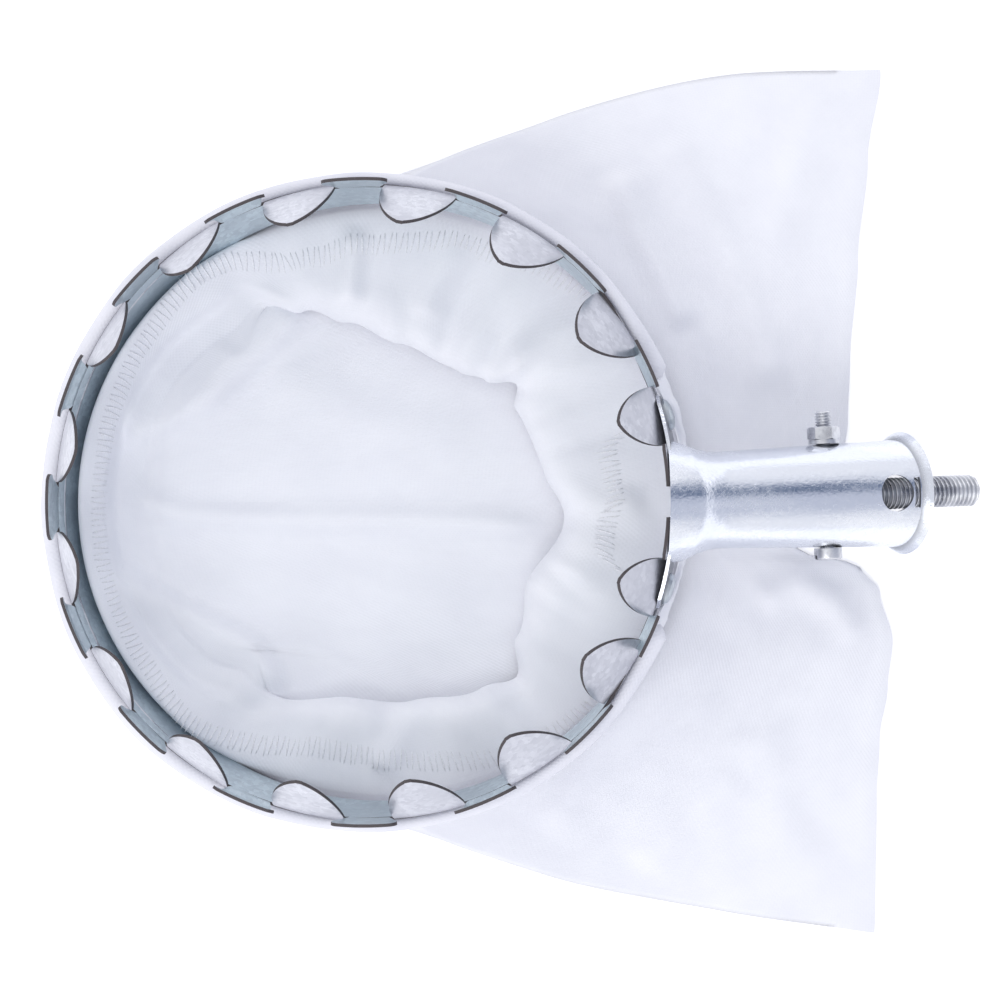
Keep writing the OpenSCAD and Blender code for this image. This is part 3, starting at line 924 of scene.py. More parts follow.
@dataclass
class CrownRing:
    """The open strip of the crown, with long fingers bent inward and short tabs. Sizes are in millimetres."""

    zinc: bpy.types.Material
    sheet: float = 0.8
    tuck: float = 0.06
    count: int = 16
    pitch: float = 22.5
    row_turn: float = 0.8
    first: float = 16.0
    gap: float = 2.8
    tongue_l: float = 20.6
    tongue_w: float = 9.1
    tongue_lean: float = 21.5
    tab_h: float = 9.0
    tab_w: float = 8.2
    tab_foot: float = 5.0
    tab_lean: float = 13.0
    tab_step: float = 1.7
    end_turn: float = 3.9
    end_share: float = 0.8

    def finger(self, number: int) -> float:
        """Returns the angle of a long finger, from 0 to 360 degrees."""
        if number in (0, self.count - 1):
            return self.first if number == 0 else 360.0 - self.first
        return 180.0 + self.row_turn + (number - (self.count - 1) / 2) * self.pitch

    def plate(self, bm: bmesh.types.BMesh, spot: Callable[[float, float], tuple[float, float, float]],
              rows: Sequence[float], columns: int) -> None:
        """Adds one closed plate of the sheet.

        Args:
            bm: The mesh that it goes into, in metres.
            spot: Gives the angle, outer radius and height of a place across (-1 to 1) and up (0 to 1).
            rows: The places up the plate. One below 0 is a root that sits inside the band.
            columns: How many faces it has across.
        """
        sides = []
        for face in (0.0, 1.0):
            grid = []
            for up in rows:
                places = [spot(2.0 * k / columns - 1.0, up) for k in range(columns + 1)]
                tuck = self.tuck if up < 0.0 else 0.0
                depth = lerp(tuck, self.sheet - tuck, face)
                row = [RING.point(angle, radius - depth, height) for angle, radius, height in places]
                grid.append([bm.verts.new(point * MM) for point in row])
            sides.append(grid)
        outer, inner = sides
        last = len(rows) - 1
        for row in range(last):
            for k in range(columns):
                bm.faces.new((outer[row][k], outer[row][k + 1], outer[row + 1][k + 1], outer[row + 1][k]))
                bm.faces.new((inner[row][k], inner[row + 1][k], inner[row + 1][k + 1], inner[row][k + 1]))
        rim = [(0, k) for k in range(columns)] + [(row, columns) for row in range(last)]
        rim += [(last, k) for k in range(columns, 0, -1)] + [(row, 0) for row in range(last, 0, -1)]
        for (a, b), (c, d) in zip(rim, rim[1:] + rim[:1]):
            bm.faces.new((outer[a][b], inner[a][b], inner[c][d], outer[c][d]))

    def tongue(self, bm: bmesh.types.BMesh, at: float, share: float) -> None:
        """Adds a long finger at an angle, its root's width a share of the full one."""
        signed = (at + 180.0) % 360.0 - 180.0
        lean = math.radians(self.tongue_lean + 2.0 * math.cos(math.radians(at)))
        root = RING.wall(signed, RING.band_h)
        run = root - (RING.band_r - self.tongue_l * math.sin(lean))
        climb = self.tongue_l * math.cos(lean)

        def spot(across: float, up: float) -> tuple[float, float, float]:
            """Gives a place on the finger, whose outline is rounded like a D."""
            radius = root - run * (0.8 * up + 0.2 * up * up)
            side = across * self.tongue_w * share * max(0.02, 1.0 - max(0.0, up) ** 2.1) ** 0.62
            return signed + math.degrees(side / radius), radius, RING.band_h + climb * up

        self.plate(bm, spot, [-0.015] + [math.sin(math.pi * k / 36) for k in range(1, 19)], 16)

    def tab(self, bm: bmesh.types.BMesh, at: float, half: float, stepped: bool) -> None:
        """Adds a short tab at an angle.

        Args:
            bm: The mesh that it goes into.
            at: Its angle, from 0 to 360 degrees.
            half: Half its width.
            stepped: Whether it is pressed outward just above its root.
        """
        signed = (at + 180.0) % 360.0 - 180.0
        lean = math.radians(self.tab_lean + 3.0 * math.cos(math.radians(at)))
        run, climb = self.tab_h * math.sin(lean), self.tab_h * math.cos(lean)
        flare = RING.flare(signed)
        knee = max(run * 0.4, self.tab_step) if stepped else run * 0.4
        heel = run * 0.15 - 0.1 * flare
        out = Stops(((0, 0), (0.15, heel), (0.4, knee - 0.25 * flare), (1, run - 0.6 * flare)))
        foot = min(self.tab_foot, half * 0.75)
        side = Stops(((0, foot), (0.45, lerp(foot, half, 0.5)), (0.77, half), (0.87, half * 0.985),
                      (0.95, half * 0.93), (1, half * 0.82)))

        def spot(across: float, up: float) -> tuple[float, float, float]:
            """Gives a place on the tab, which is widest near its rounded top."""
            radius = RING.band_r + flare + out.at(up)
            return signed + math.degrees(across * side.at(up) / radius), radius, RING.band_h + climb * up

        self.plate(bm, spot, (-0.03, 0.08, 0.15, 0.23, 0.32, 0.4, 0.55, 0.7, 0.8, 0.88, 0.94, 0.97, 1), 14)

    def strip_end(self, bm: bmesh.types.BMesh, side: int) -> None:
        """Adds the half tab at one end of the strip."""
        half = self.end_turn
        middle = side * (self.gap + half)

        def spot(across: float, up: float) -> tuple[float, float, float]:
            """Gives a place on the half tab, cut off at its outer corner."""
            cut = 1.0 - 0.25 * smooth(0.7, 1.0, up) if across * side > 0 else 1.0
            return middle + across * half * cut, RING.band_r, RING.band_h + self.tab_h * up

        self.plate(bm, spot, (-0.03, 0.5, 0.75, 0.85, 0.93, 1), 8)

    def build(self) -> bpy.types.Object:
        """Builds the band with its fingers and tabs."""
        bm = bmesh.new()
        reach = 180.0 - self.gap

        def band(across: float, up: float) -> tuple[float, float, float]:
            """Gives a place on the band."""
            angle = 180.0 + across * reach
            height = up * RING.band_h
            return angle, RING.wall((angle + 180.0) % 360.0 - 180.0, height), height

        self.plate(bm, band, (0, 0.25, 0.5, 0.75, 1), 320)
        for number in range(self.count):
            self.tongue(bm, self.finger(number), self.end_share if number in (0, self.count - 1) else 1.0)
        for number in range(self.count - 1):
            room = self.finger(number + 1) - self.finger(number)
            half = self.tab_w * min(1.0, (room - 6.0) / (self.pitch - 6.0))
            self.tab(bm, self.finger(number) + room / 2, half, number % 2 == 0)
        for side in (-1, 1):
            self.strip_end(bm, side)
        bmesh.ops.recalc_face_normals(bm, faces=bm.faces)
        piece = from_bmesh("ring_band_flared", bm, 40)
        coat(piece, self.zinc)
        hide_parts("ring_band")
        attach(piece, HEAD_BODY)
        return piece


class CreaseKind(Enum):
    """How a crease lifts the cloth."""

    RIDGE = "a raised line"
    STEP = "one side lies higher"


@dataclass(frozen=True)
class Crease:
    """A crease along a line on the ground. Sizes are in millimetres.

    Args:
        points: The line in plan, as (x, y) points.
        rise: Height of the ridge or of the step on its left.
        width: How far it reaches to each side.
        kind: Its form.
    """

    points: tuple[tuple[float, float], ...]
    rise: float
    width: float
    kind: CreaseKind = CreaseKind.RIDGE

    def lift(self, x: float, y: float) -> float:
        """Returns how much it lifts the cloth at a place in plan."""
        best, side, along = 1e9, 0.0, 0.0
        total = len(self.points) - 1
        for k, ((x0, y0), (x1, y1)) in enumerate(zip(self.points, self.points[1:])):
            dx, dy = x1 - x0, y1 - y0
            t = min(1.0, max(0.0, ((x - x0) * dx + (y - y0) * dy) / (dx * dx + dy * dy)))
            gap = math.hypot(x - x0 - t * dx, y - y0 - t * dy)
            if gap < best:
                best, along = gap, (k + t) / total
                side = math.copysign(1.0, dx * (y - y0) - dy * (x - x0))
        ends = smooth(0.0, 0.12, along) * smooth(1.0, 0.88, along)
        if self.kind is CreaseKind.RIDGE:
            return self.rise * ends * math.exp(-(best / self.width) ** 2)
        reach = math.exp(-(best / (7.0 * self.width)) ** 2)
        return self.rise * ends * reach * (0.5 + 0.5 * math.tanh(side * best / self.width))


@dataclass
class CatchBag:
    """The cloth bag: a tube from the hem, folded in under the ring and laid flat. Sizes are in millimetres.

    The stops fold, crown and lip give the edge, the height and the front's height of the inner fold round the
    ring, and end_x gives how far the closed end reaches.
    """

    cloth: bpy.types.Material
    hem_cloth: bpy.types.Material
    yarn: bpy.types.Material
    girth: float = 486.0
    sleeve_gap: float = 1.2
    hem_end: float = 22.5
    hem_mid: float = 77.85
    hem_z: float = 10.4
    hem_r: float = 2.25
    hem_steps: int = 400
    hem_sides: int = 20
    hem_side_l: float = 0.75
    skirt_h: float = 5.2
    stitches: int = 300
    stitch_l: float = 5.6
    stitch_w: float = 0.45
    stitch_rise: float = 0.22
    seam_near: float = 36.5
    seam_far: float = 33.5
    end_half: float = 111.0
    plan_x: float = -38.0
    columns: int = 288
    thickness: float = 0.35
    fold: Stops = Stops((
        (-180, 67), (-150, 67), (-137, 66), (-123, 61.4), (-96, 49.8), (-78, 51), (-59, 54.8), (-50, 58.5),
        (-43, 51.4), (-26, 45.3), (-5, 49.8), (9, 45.8), (24, 44.7), (33, 45), (38.5, 48.9), (46, 43),
        (55, 40.2), (67, 39.8), (79, 40.6), (97.5, 46.5), (109, 52.9), (122, 64), (150, 67)), 360)
    crown: Stops = Stops((
        (-180, 3.4), (-140, 4.0), (-120, 7), (-90, 11), (-62, 11), (-50, 10.5), (-27, 18), (-4, 15),
        (4, 13.5), (24, 12.5), (38, 11), (54, 12.5), (90, 12), (112, 8.5), (132, 4.2)), 360)
    lip: Stops = Stops((
        (-180, 2.0), (-140, 2.4), (-120, 5.0), (-90, 8), (-50, 8), (-27, 12), (-4, 9.5), (24, 8.6), (38, 8),
        (54, 9), (90, 8), (112, 5.8), (132, 2.4)), 360)
    end_x: Stops = Stops((
        (-111, 91.6), (-77, 92.1), (-61, 92.9), (-48, 95.0), (-36, 96.3), (-23, 93.0), (-17.5, 88.5),
        (-15.3, 84.0), (-13.5, 74.0), (-11, 70.0), (-4, 78.0), (5, 82.5), (21, 84.8), (36, 85.4), (62, 87.5),
        (88, 90.1), (111, 93.5)))
    rows: tuple[int, ...] = (4, 4, 5, 5, 6, 7, 7, 6, 6, 10, 26, 14, 14)
    lines: list[list[Vector]] = field(default_factory=list)
    cut_length: float = 0.0

    def folds_back(self, angle: float) -> float:
        """Returns 1 where the cloth folds back under itself and 0 where it runs straight in."""
        return 1.0 - smooth(98.0, 130.0, abs(angle))

    def floor_creases(self) -> tuple[Crease, ...]:
        """Returns the creases of the cloth's lower layer inside the ring."""
        return (
            Crease(((-101, 13.4), (-88, 18.5), (-76, 26.1), (-63, 38), (-51, 50)), 5.0, 1.8,
                   CreaseKind.STEP),
            Crease(((-58, -49), (-66, -35.1), (-79, -28.5), (-91.5, -22.3), (-105, -14.6)), 5.0, 1.8,
                   CreaseKind.STEP),
            Crease(((-103, 3.2), (-86.3, -3.2), (-58, -4.4), (-30.3, -4.6), (-10, -5.5), (10.7, -7.2)),
                   2.8, 3.4),
            Crease(((-66, 34), (-38, 21), (-12, 15)), 1.3, 7),
            Crease(((-86, -12), (-48, -24), (-10, -30)), 1.5, 8),
            Crease(((-94, 8), (-80, 22), (-72, 42)), 1.3, 4),
        )

    def fold_creases(self) -> tuple[Crease, ...]:
        """Returns the creases of the fold that lies on the lower layer inside the ring."""
        return (
            Crease(((30, 5), (17.8, -2.5), (11.5, -7.1), (5, -16)), 4.0, 2.0, CreaseKind.STEP),
            Crease(((-4, 29.5), (10.2, 31.3), (20.3, 32.8), (30, 35)), 3.4, 1.8, CreaseKind.STEP),
            Crease(((-41.6, 69), (-42, 60), (-42.8, 49)), 2.6, 3.0),
            Crease(((-14, 64), (-20, 56), (-24, 46)), 1.6, 4.0),
            Crease(((-36, -68), (-30, -60), (-28, -50)), 2.0, 4.0),
            Crease(((2, -60), (-6, -54), (-12, -47)), 1.8, 3.5),
        )

    def pouch_creases(self) -> tuple[Crease, ...]:
        """Returns the creases of the upper layer beside the ring."""
        return (
            Crease(((25, 86), (31.1, 69.3), (37.4, 56.6), (43.8, 43.8)), 2.3, 4),
            Crease(((38, 94), (43.9, 82.1), (52.8, 64.3), (61.7, 43.8), (66, 28)), 2.0, 5),
            Crease(((80, 106), (72, 86), (66, 64)), 1.3, 6),
            Crease(((6.6, -86.3), (25.8, -50.6), (46.4, -17)), 2.4, 4.5),
            Crease(((60, -26), (71, -20), (82, -26), (88, -36)), 2.0, 4),
            Crease(((82, -104), (68, -84), (58, -56)), 1.5, 7),
            Crease(((30, -94), (42, -80), (58, -70)), 1.2, 6),
        )

    def plan(self, angle: float, radius: float) -> Vector:
        """Returns a place on the ground at an angle and distance from the ring's middle."""
        a = math.radians(angle)
        return Vector((self.plan_x + radius * math.cos(a), radius * math.sin(a), 0))

    def top(self, angle: float) -> float:
        """Returns the height of the cloth's upper edge on the band, which drops under the socket."""
        return lerp(-9.0, 10.6, smooth(12.0, 22.0, abs(angle)))

    def path(self, angle: float) -> list[Vector]:
        """Lays out one thread of the cloth from the hem to the closed end.

        Args:
            angle: Turn from the socket, from -180 to 180 degrees.

        Returns:
            The points that the thread runs through, in millimetres.
        """
        back = self.folds_back(angle)
        upper = abs(angle) <= 90.0
        top = self.top(angle)
        a = math.radians(angle)
        soft = 1.6 * noise.noise(Vector((math.cos(a) * 3.1, math.sin(a) * 3.1, 0.4)))
        crown, lip = self.crown.at(angle), self.lip.at(angle)
        edge = self.fold.at(angle) + soft * back
        # The sleeve outside the band
        hem = RING.point(angle, RING.wall(angle, top) + self.sleeve_gap, top)
        below = min(-1.0, top - 1.5)
        half = lerp(top, below, 0.5)
        bulge = RING.point(angle, RING.wall(angle, half) + self.sleeve_gap, half)
        skirt = RING.point(angle, RING.band_r + self.sleeve_gap + 1.0, below)
        # Under the band into the ring
        foot = RING.sleeve(angle, lerp(75.2, 76.8, back), lerp(0.9, crown * 0.6, back))
        hang = RING.sleeve(angle, 77.6, lerp(foot.z, skirt.z, 0.45))
        for point in (skirt, hang, foot, bulge):
            point.z = max(point.z, 0.7)
        wall = RING.sleeve(angle, lerp(73.8, 73.2, back), lerp(13.0, crown, back))
        # Across to the fold's edge, and back under itself
        mid = self.plan(angle, lerp(70.5, edge, lerp(0.9, 0.55, back)))
        mid.z = lerp(8.5, crown, back)
        front = self.plan(angle, edge + lerp(-2.0, 2.6, back))
        front.z = lerp(crown, lip, 0.6) + 0.6 * back
        turn = self.plan(angle, edge + lerp(-5.5, -0.2, back))
        turn.z = lip * lerp(0.8, 0.62, back)
        tuck = self.plan(angle, edge + lerp(-9.5, 3.4, back))
        tuck.z = lerp(1.1, 3.3, back)
        home = self.plan(angle, lerp(edge - 15.0, 75.5, back))
        home.z = lerp(1.0, 3.2 if upper else 1.9, back)
        # Out to the closed end
        share = angle / 90.0 if upper else math.copysign(2.0 - abs(angle) / 90.0, angle)
        end_y = self.end_half * share
        end = Vector((self.end_x.at(end_y), end_y, 1.0))
        swell = (11.0 if angle > 0 else -7.5) * abs(share) ** 3
        thread = [hem, bulge, skirt, hang, foot, wall, mid, front, turn, tuck, home]
        for s in (0.34, 0.68):
            p = home.lerp(end, s)
            p.y += swell * math.sin(math.pi * (s if angle > 0 else s ** 0.65))
            p.z = lerp(3.0, 2.4, s) if upper else 0.7
            thread.append(p)
        thread.append(end)
        return thread

    @staticmethod
    def spline(points: Sequence[Vector], counts: Sequence[int]) -> list[Vector]:
        """Runs a smooth line through points.

        Args:
            points: The points.
            counts: How many steps each piece between two points gets.

        Returns:
            The line's points, its first and last among them.
        """
        line = []
        last = len(points) - 1
        for k, count in enumerate(counts):
            p0, p1, p2, p3 = points[max(k - 1, 0)], points[k], points[k + 1], points[min(k + 2, last)]
            reach = (p2 - p1).length
            m1 = (p2 - p0) * (reach / max(1e-6, (p2 - p1).length + (p1 - p0).length))
            m2 = (p3 - p1) * (reach / max(1e-6, (p3 - p2).length + (p2 - p1).length))
            for step in range(count):
                t = step / count
                t2, t3 = t * t, t * t * t
                kept = p1 * (2 * t3 - 3 * t2 + 1) + m1 * (t3 - 2 * t2 + t)
                line.append(kept + p2 * (3 * t2 - 2 * t3) + m2 * (t3 - t2))
        line.append(points[last].copy())
        return line

    @staticmethod
    def ripple(angle: float, row: int, coarse: tuple[float, float, float], fine: tuple[float, float, float],
               share: float) -> float:
        """Returns two waves of the cloth added up.

        Args:
            angle: The thread's turn from the socket.
            row: The row from the hem.
            coarse: How fast the first wave changes with the angle and the row, and its seed.
            fine: The same for the second wave.
            share: How much of the second wave is added.
        """
        first = noise.noise(Vector((angle * coarse[0], row * coarse[1], coarse[2])))
        return first + share * noise.noise(Vector((angle * fine[0], row * fine[1], fine[2])))

    @staticmethod
    def lift(creases: Sequence[Crease], point: Vector) -> float:
        """Returns how much a set of creases lifts the cloth at a point."""
        return sum(crease.lift(point.x, point.y) for crease in creases)

    def settle(self, point: Vector, row: int, angle: float) -> Vector:
        """Adds creases and small waves to one point of the cloth.

        Args:
            point: The point, in millimetres.
            row: Its row from the hem.
            angle: Its thread's turn from the socket.

        Returns:
            The moved point, never below the ground.
        """
        starts = [sum(self.rows[:k]) for k in range(len(self.rows) + 1)]
        if row == starts[-1]:
            return point
        upper = abs(angle) <= 90.0
        back = self.folds_back(angle)
        flat = Vector((point.x * 0.035, point.y * 0.035, 0.7 + row * 0.002))
        wave = noise.fractal(flat, 1.0, 2.0, 3)
        if row < starts[4]:  # The sleeve
            amount = 0.5 * smooth(0, starts[3], row)
            out = Vector((point.x + RING.mid_x, point.y, 0)).normalized()
            gather = self.ripple(angle, row, (0.32, 0.05, 11.0), (0.75, 0.09, 5.0), 0.5)
            moved = point + out * (amount * (wave * 2.0 + 1.1 * gather))
        elif row < starts[9]:  # The inner fold
            swing = smooth(starts[4], starts[6], row) * smooth(starts[9], starts[8], row)
            waves = self.ripple(angle, row, (0.055, 0.03, 3.0), (0.13, 0.06, 7.0), 0.6)
            height = 3.0 * back + 0.5
            bent = back * self.lift(self.fold_creases(), point)
            reached = (1.0 - back) * smooth(starts[6] - 2, starts[7], row)
            floor = reached * self.lift(self.floor_creases(), point)
            moved = point + Vector((0, 0, swing * (waves * height + wave * 1.2 + bent) + floor))
        elif upper:  # The pouch's upper layer
            free = smooth(starts[10], starts[11], row) * smooth(starts[13], starts[12] + 4, row)
            lifted = self.lift(self.pouch_creases(), point)
            moved = point + Vector((0, 0, free * (lifted + 1.1 * wave)))
            moved.z = max(moved.z, 1.3)
        else:  # The lower layer, under the ring and the pouch
            away = math.hypot(point.x - self.plan_x, point.y)
            edge = self.fold.at(math.degrees(math.atan2(point.y, point.x - self.plan_x)))
            inside = smooth(84, 70, away) * lerp(1.0, smooth(starts[10] - 3, starts[10] + 2, row), back)
            lifted = self.lift(self.floor_creases(), point)
            covered = smooth(edge + 3, edge - 4, away)
            if away > 50:
                covered = max(1.0 - back, covered)
            moved = point + Vector((0, 0, inside * covered * (lifted + 0.35 * wave + 0.3)))
        moved.z = max(moved.z, 0.45)
        return moved

    def sheet(self) -> bpy.types.Object:
        """Builds the bag's cloth as one tube with its cut marked in metres."""
        bm = bmesh.new()
        cut = bm.loops.layers.uv.new("cut")
        grid: list[list[bmesh.types.BMVert]] = []
        for k in range(self.columns):
            angle = -180.0 + 360.0 * k / self.columns
            line = self.spline(self.path(angle), self.rows)
            grid.append([bm.verts.new(self.settle(p, row, angle) * MM) for row, p in enumerate(line)])
        self.lines = [[v.co.copy() for v in line] for line in grid]
        count = len(grid[0])
        length = [0.0]
        for row in range(1, count):
            steps = [(line[row].co - line[row - 1].co).length for line in grid]
            length.append(length[-1] + sum(steps) / len(grid))
        for k, line in enumerate(grid):
            after = grid[(k + 1) % self.columns]
            for row in range(count - 1):
                face = bm.faces.new((line[row], line[row + 1], after[row + 1], after[row]))
                for loop, (a, b) in zip(face.loops, ((k, row), (k, row + 1), (k + 1, row + 1), (k + 1, row))):
                    loop[cut].uv = (self.girth * MM * a / self.columns, length[b])
        bmesh.ops.remove_doubles(bm, verts=[line[-1] for line in grid], dist=1e-6)
        piece = from_bmesh("bag_cloth", bm, 160)
        coat(piece, self.cloth)
        thick = piece.modifiers.new("Cloth", "SOLIDIFY")
        thick.thickness = self.thickness * MM
        thick.offset = 0.0
        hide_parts("bag")
        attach(piece, HEAD_BODY)
        self.cut_length = length[-1]
        log.info("bag cloth: %.0f mm from hem to closed end", length[-1] * 1000)
        return piece

    def hem(self) -> bpy.types.Object:
        """Builds the hem, a soft roll with a pressed skirt, held under the tabs."""
        bm = bmesh.new()
        cut = bm.loops.layers.uv.new("cut")
        steps, sides = self.hem_steps, self.hem_sides
        arc = 360.0 - 2 * self.hem_end
        rings = []
        for k in range(steps + 1):
            angle = self.hem_end + arc * k / steps
            a = math.radians(angle)
            tab_turn = (angle - 180 - CrownRing.row_turn) * CrownRing.count
            pinch = 0.5 + 0.5 * math.cos(math.radians(tab_turn))
            wave = 0.05 * noise.noise(Vector((math.cos(a) * 9, math.sin(a) * 9, 1)))
            puff = self.hem_r * (1.0 + wave + 0.12 * pinch)
            signed = (angle + 180.0) % 360.0 - 180.0
            inner = RING.wall(signed, self.hem_z) + 0.3
            spread = 0.6 * smooth(24, 60, abs(signed)) + 2.2 * smooth(80, 150, abs(signed))
            outer = self.hem_mid + self.hem_r + spread
            middle, wide_by = (inner + outer) / 2, (outer - inner) / (2 * self.hem_r)
            closed = min(1.0, min(k, steps - k) / 2)
            puff *= 0.25 + 0.75 * closed
            ring = []
            for s in range(sides):
                t = 2 * math.pi * s / sides
                wide, high = math.cos(t), math.sin(t)
                r = middle + puff * wide_by * wide * (0.96 if wide < 0 else 1.0)
                z = self.hem_z + puff * high * 0.96
                if high < -0.2 and wide < 0.4:
                    z -= self.skirt_h * smooth(-0.2, -0.9, high)
                    r = lerp(r, middle - 0.5, smooth(-0.2, -0.9, high))
                r = max(r, RING.wall(signed, z) + 0.25)
                ring.append(bm.verts.new(RING.point(angle, r, z) * MM))
            rings.append(ring)
        for k, (one, two) in enumerate(zip(rings, rings[1:])):
            for s in range(sides):
                n = (s + 1) % sides
                face = bm.faces.new((one[s], one[n], two[n], two[s]))
                for loop, (a, b) in zip(face.loops, ((k, s), (k, s + 1), (k + 1, s + 1), (k + 1, s))):
                    loop[cut].uv = (self.girth * MM * a / steps, self.hem_side_l * MM * b)
        bm.faces.new(rings[0])
        bm.faces.new(rings[-1])
        bmesh.ops.recalc_face_normals(bm, faces=bm.faces)
        piece = from_bmesh("hem_cloth", bm, 100)
        coat(piece, self.hem_cloth)
        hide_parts("bag_hem")
        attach(piece, HEAD_BODY)
        return piece

    def place_on(self, column: float, metres: float) -> tuple[Vector, Vector, Vector]:
        """Finds a place on the finished cloth.

        Args:
            column: Its thread, counted round the ring.
            metres: Distance from the hem along the cloth.

        Returns:
            The point, the direction round the ring and the cloth's outward normal there.
        """
        here = self.lines[int(column) % self.columns]
        after = self.lines[(int(column) + 1) % self.columns]
        share = column - int(column)
        gone = 0.0
        for row in range(1, len(here)):
            a, b = here[row - 1].lerp(after[row - 1], share), here[row].lerp(after[row], share)
            step = (b - a).length
            if gone + step >= metres or row == len(here) - 1:
                t = (metres - gone) / max(step, 1e-9)
                point = a.lerp(b, min(1.0, t))
                turn = (after[row] - here[row]).normalized()
                down = (b - a).normalized()
                return point, turn, down.cross(turn).normalized()
            gone += step
        raise ValueError("the cloth is shorter than that")

    def seam(self, tree: GeometryTree) -> bpy.types.Object:
        """Builds the overlock row that holds the hem's lower fold.

        Args:
            tree: The tree that lays stitches.

        Returns:
            The stitches as one piece.
        """
        mesh = bpy.data.meshes.new("seam_points")
        points, lie, rise = [], [], []
        for k in range(self.stitches):
            column = self.columns * k / self.stitches
            far = smooth(60, 150, abs(-180.0 + 360.0 * k / self.stitches))
            point, turn, normal = self.place_on(column, lerp(self.seam_near, self.seam_far, far) * MM)
            down = normal.cross(turn).normalized()
            for side in (1, -1):
                points.append(point + normal * (side * self.stitch_rise * MM))
                lie.append((down + turn * (0.08 if k % 2 else -0.08)).normalized())
                rise.append(normal * side)
        mesh.from_pydata(points, [], [])
        for name, values in (("lie", lie), ("rise", rise)):
            layer = mesh.attributes.new(name, "FLOAT_VECTOR", "POINT")
            layer.data.foreach_set("vector", [c for v in values for c in v])
        grown = tree.grow(mesh, "hem_seam", {
            "Length": self.stitch_l * MM, "Thickness": self.stitch_w * MM, "Material": self.yarn,
        })
        piece = mesh_object("hem_seam", grown)
        for polygon in piece.data.polygons:
            polygon.use_smooth = True
        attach(piece, HEAD_BODY)
        return piece

    def build(self) -> list[bpy.types.Object]:
        cloth = self.sheet()
        hem = self.hem()
        seam = self.seam(stitch_tree())
        return [cloth, hem, seam]


@dataclass
class SheetMetal:
    """Finishes of the ring, the socket and the small hardware that the frame brings."""

    # The ring's inside colour is a painted greenish reflection, lighter than the sheet, on its faces turned
    # to the axis.
    ring: ZincFinish = ZincFinish(
        "Zinc_sheet_ring", (0.66, 0.67, 0.72, 1), (0.47, 0.48, 0.53, 1), (0.09, 0.08, 0.085, 1), 0.0012, 0.35,
        0.36, RING.centre(), RING.axis(), inside=(1.08, 1.20, 1.17, 1))
    # The socket's inside colour is painted shade in the tube's bore.
    socket: ZincFinish = ZincFinish(
        "Zinc_sheet_socket", (0.90, 0.92, 0.95, 1), (0.72, 0.75, 0.82, 1), (0.20, 0.21, 0.24, 1), 0.0009,
        0.15, 0.17, TUBE_ROOT * MM, TUBE_AXIS, True, (0.12, 1.0, 0.35), 0.006, inside=(0.22, 0.23, 0.25, 1))
    rivet: ZincFinish = ZincFinish(
        "Zinc_rivet", (0.62, 0.66, 0.70, 1), (0.34, 0.38, 0.42, 1), (0.5, 0.53, 0.56, 1), 0.0014, 0.4, 0.3,
        RING.centre(), RING.axis(), True)

    def dress(self, steel: bpy.types.Material) -> None:
        """Gives every carried node that shows itself its finish."""
        rivet = self.rivet.material()
        finishes = {
            "lock_washer": steel, "cross_nut": steel, "bag_hoop": steel,
            "rivet_upper": rivet, "rivet_lower": rivet,
        }
        for name, material in finishes.items():
            coat(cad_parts[name], material)
            log.info("%s: %s", name, material.name)

    def round_socket(self) -> bpy.types.Object:
        """Copies the socket with its triangles joined, so that its curved faces shade round."""
        bm = bmesh.new()
        bm.from_mesh(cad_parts["pole_socket"].data)
        bmesh.ops.remove_doubles(bm, verts=bm.verts, dist=1e-6)
        piece = from_bmesh("pole_socket_round", bm, 30)
        coat(piece, self.socket.material())
        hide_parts("pole_socket")
        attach(piece, HEAD_BODY)
        return piece


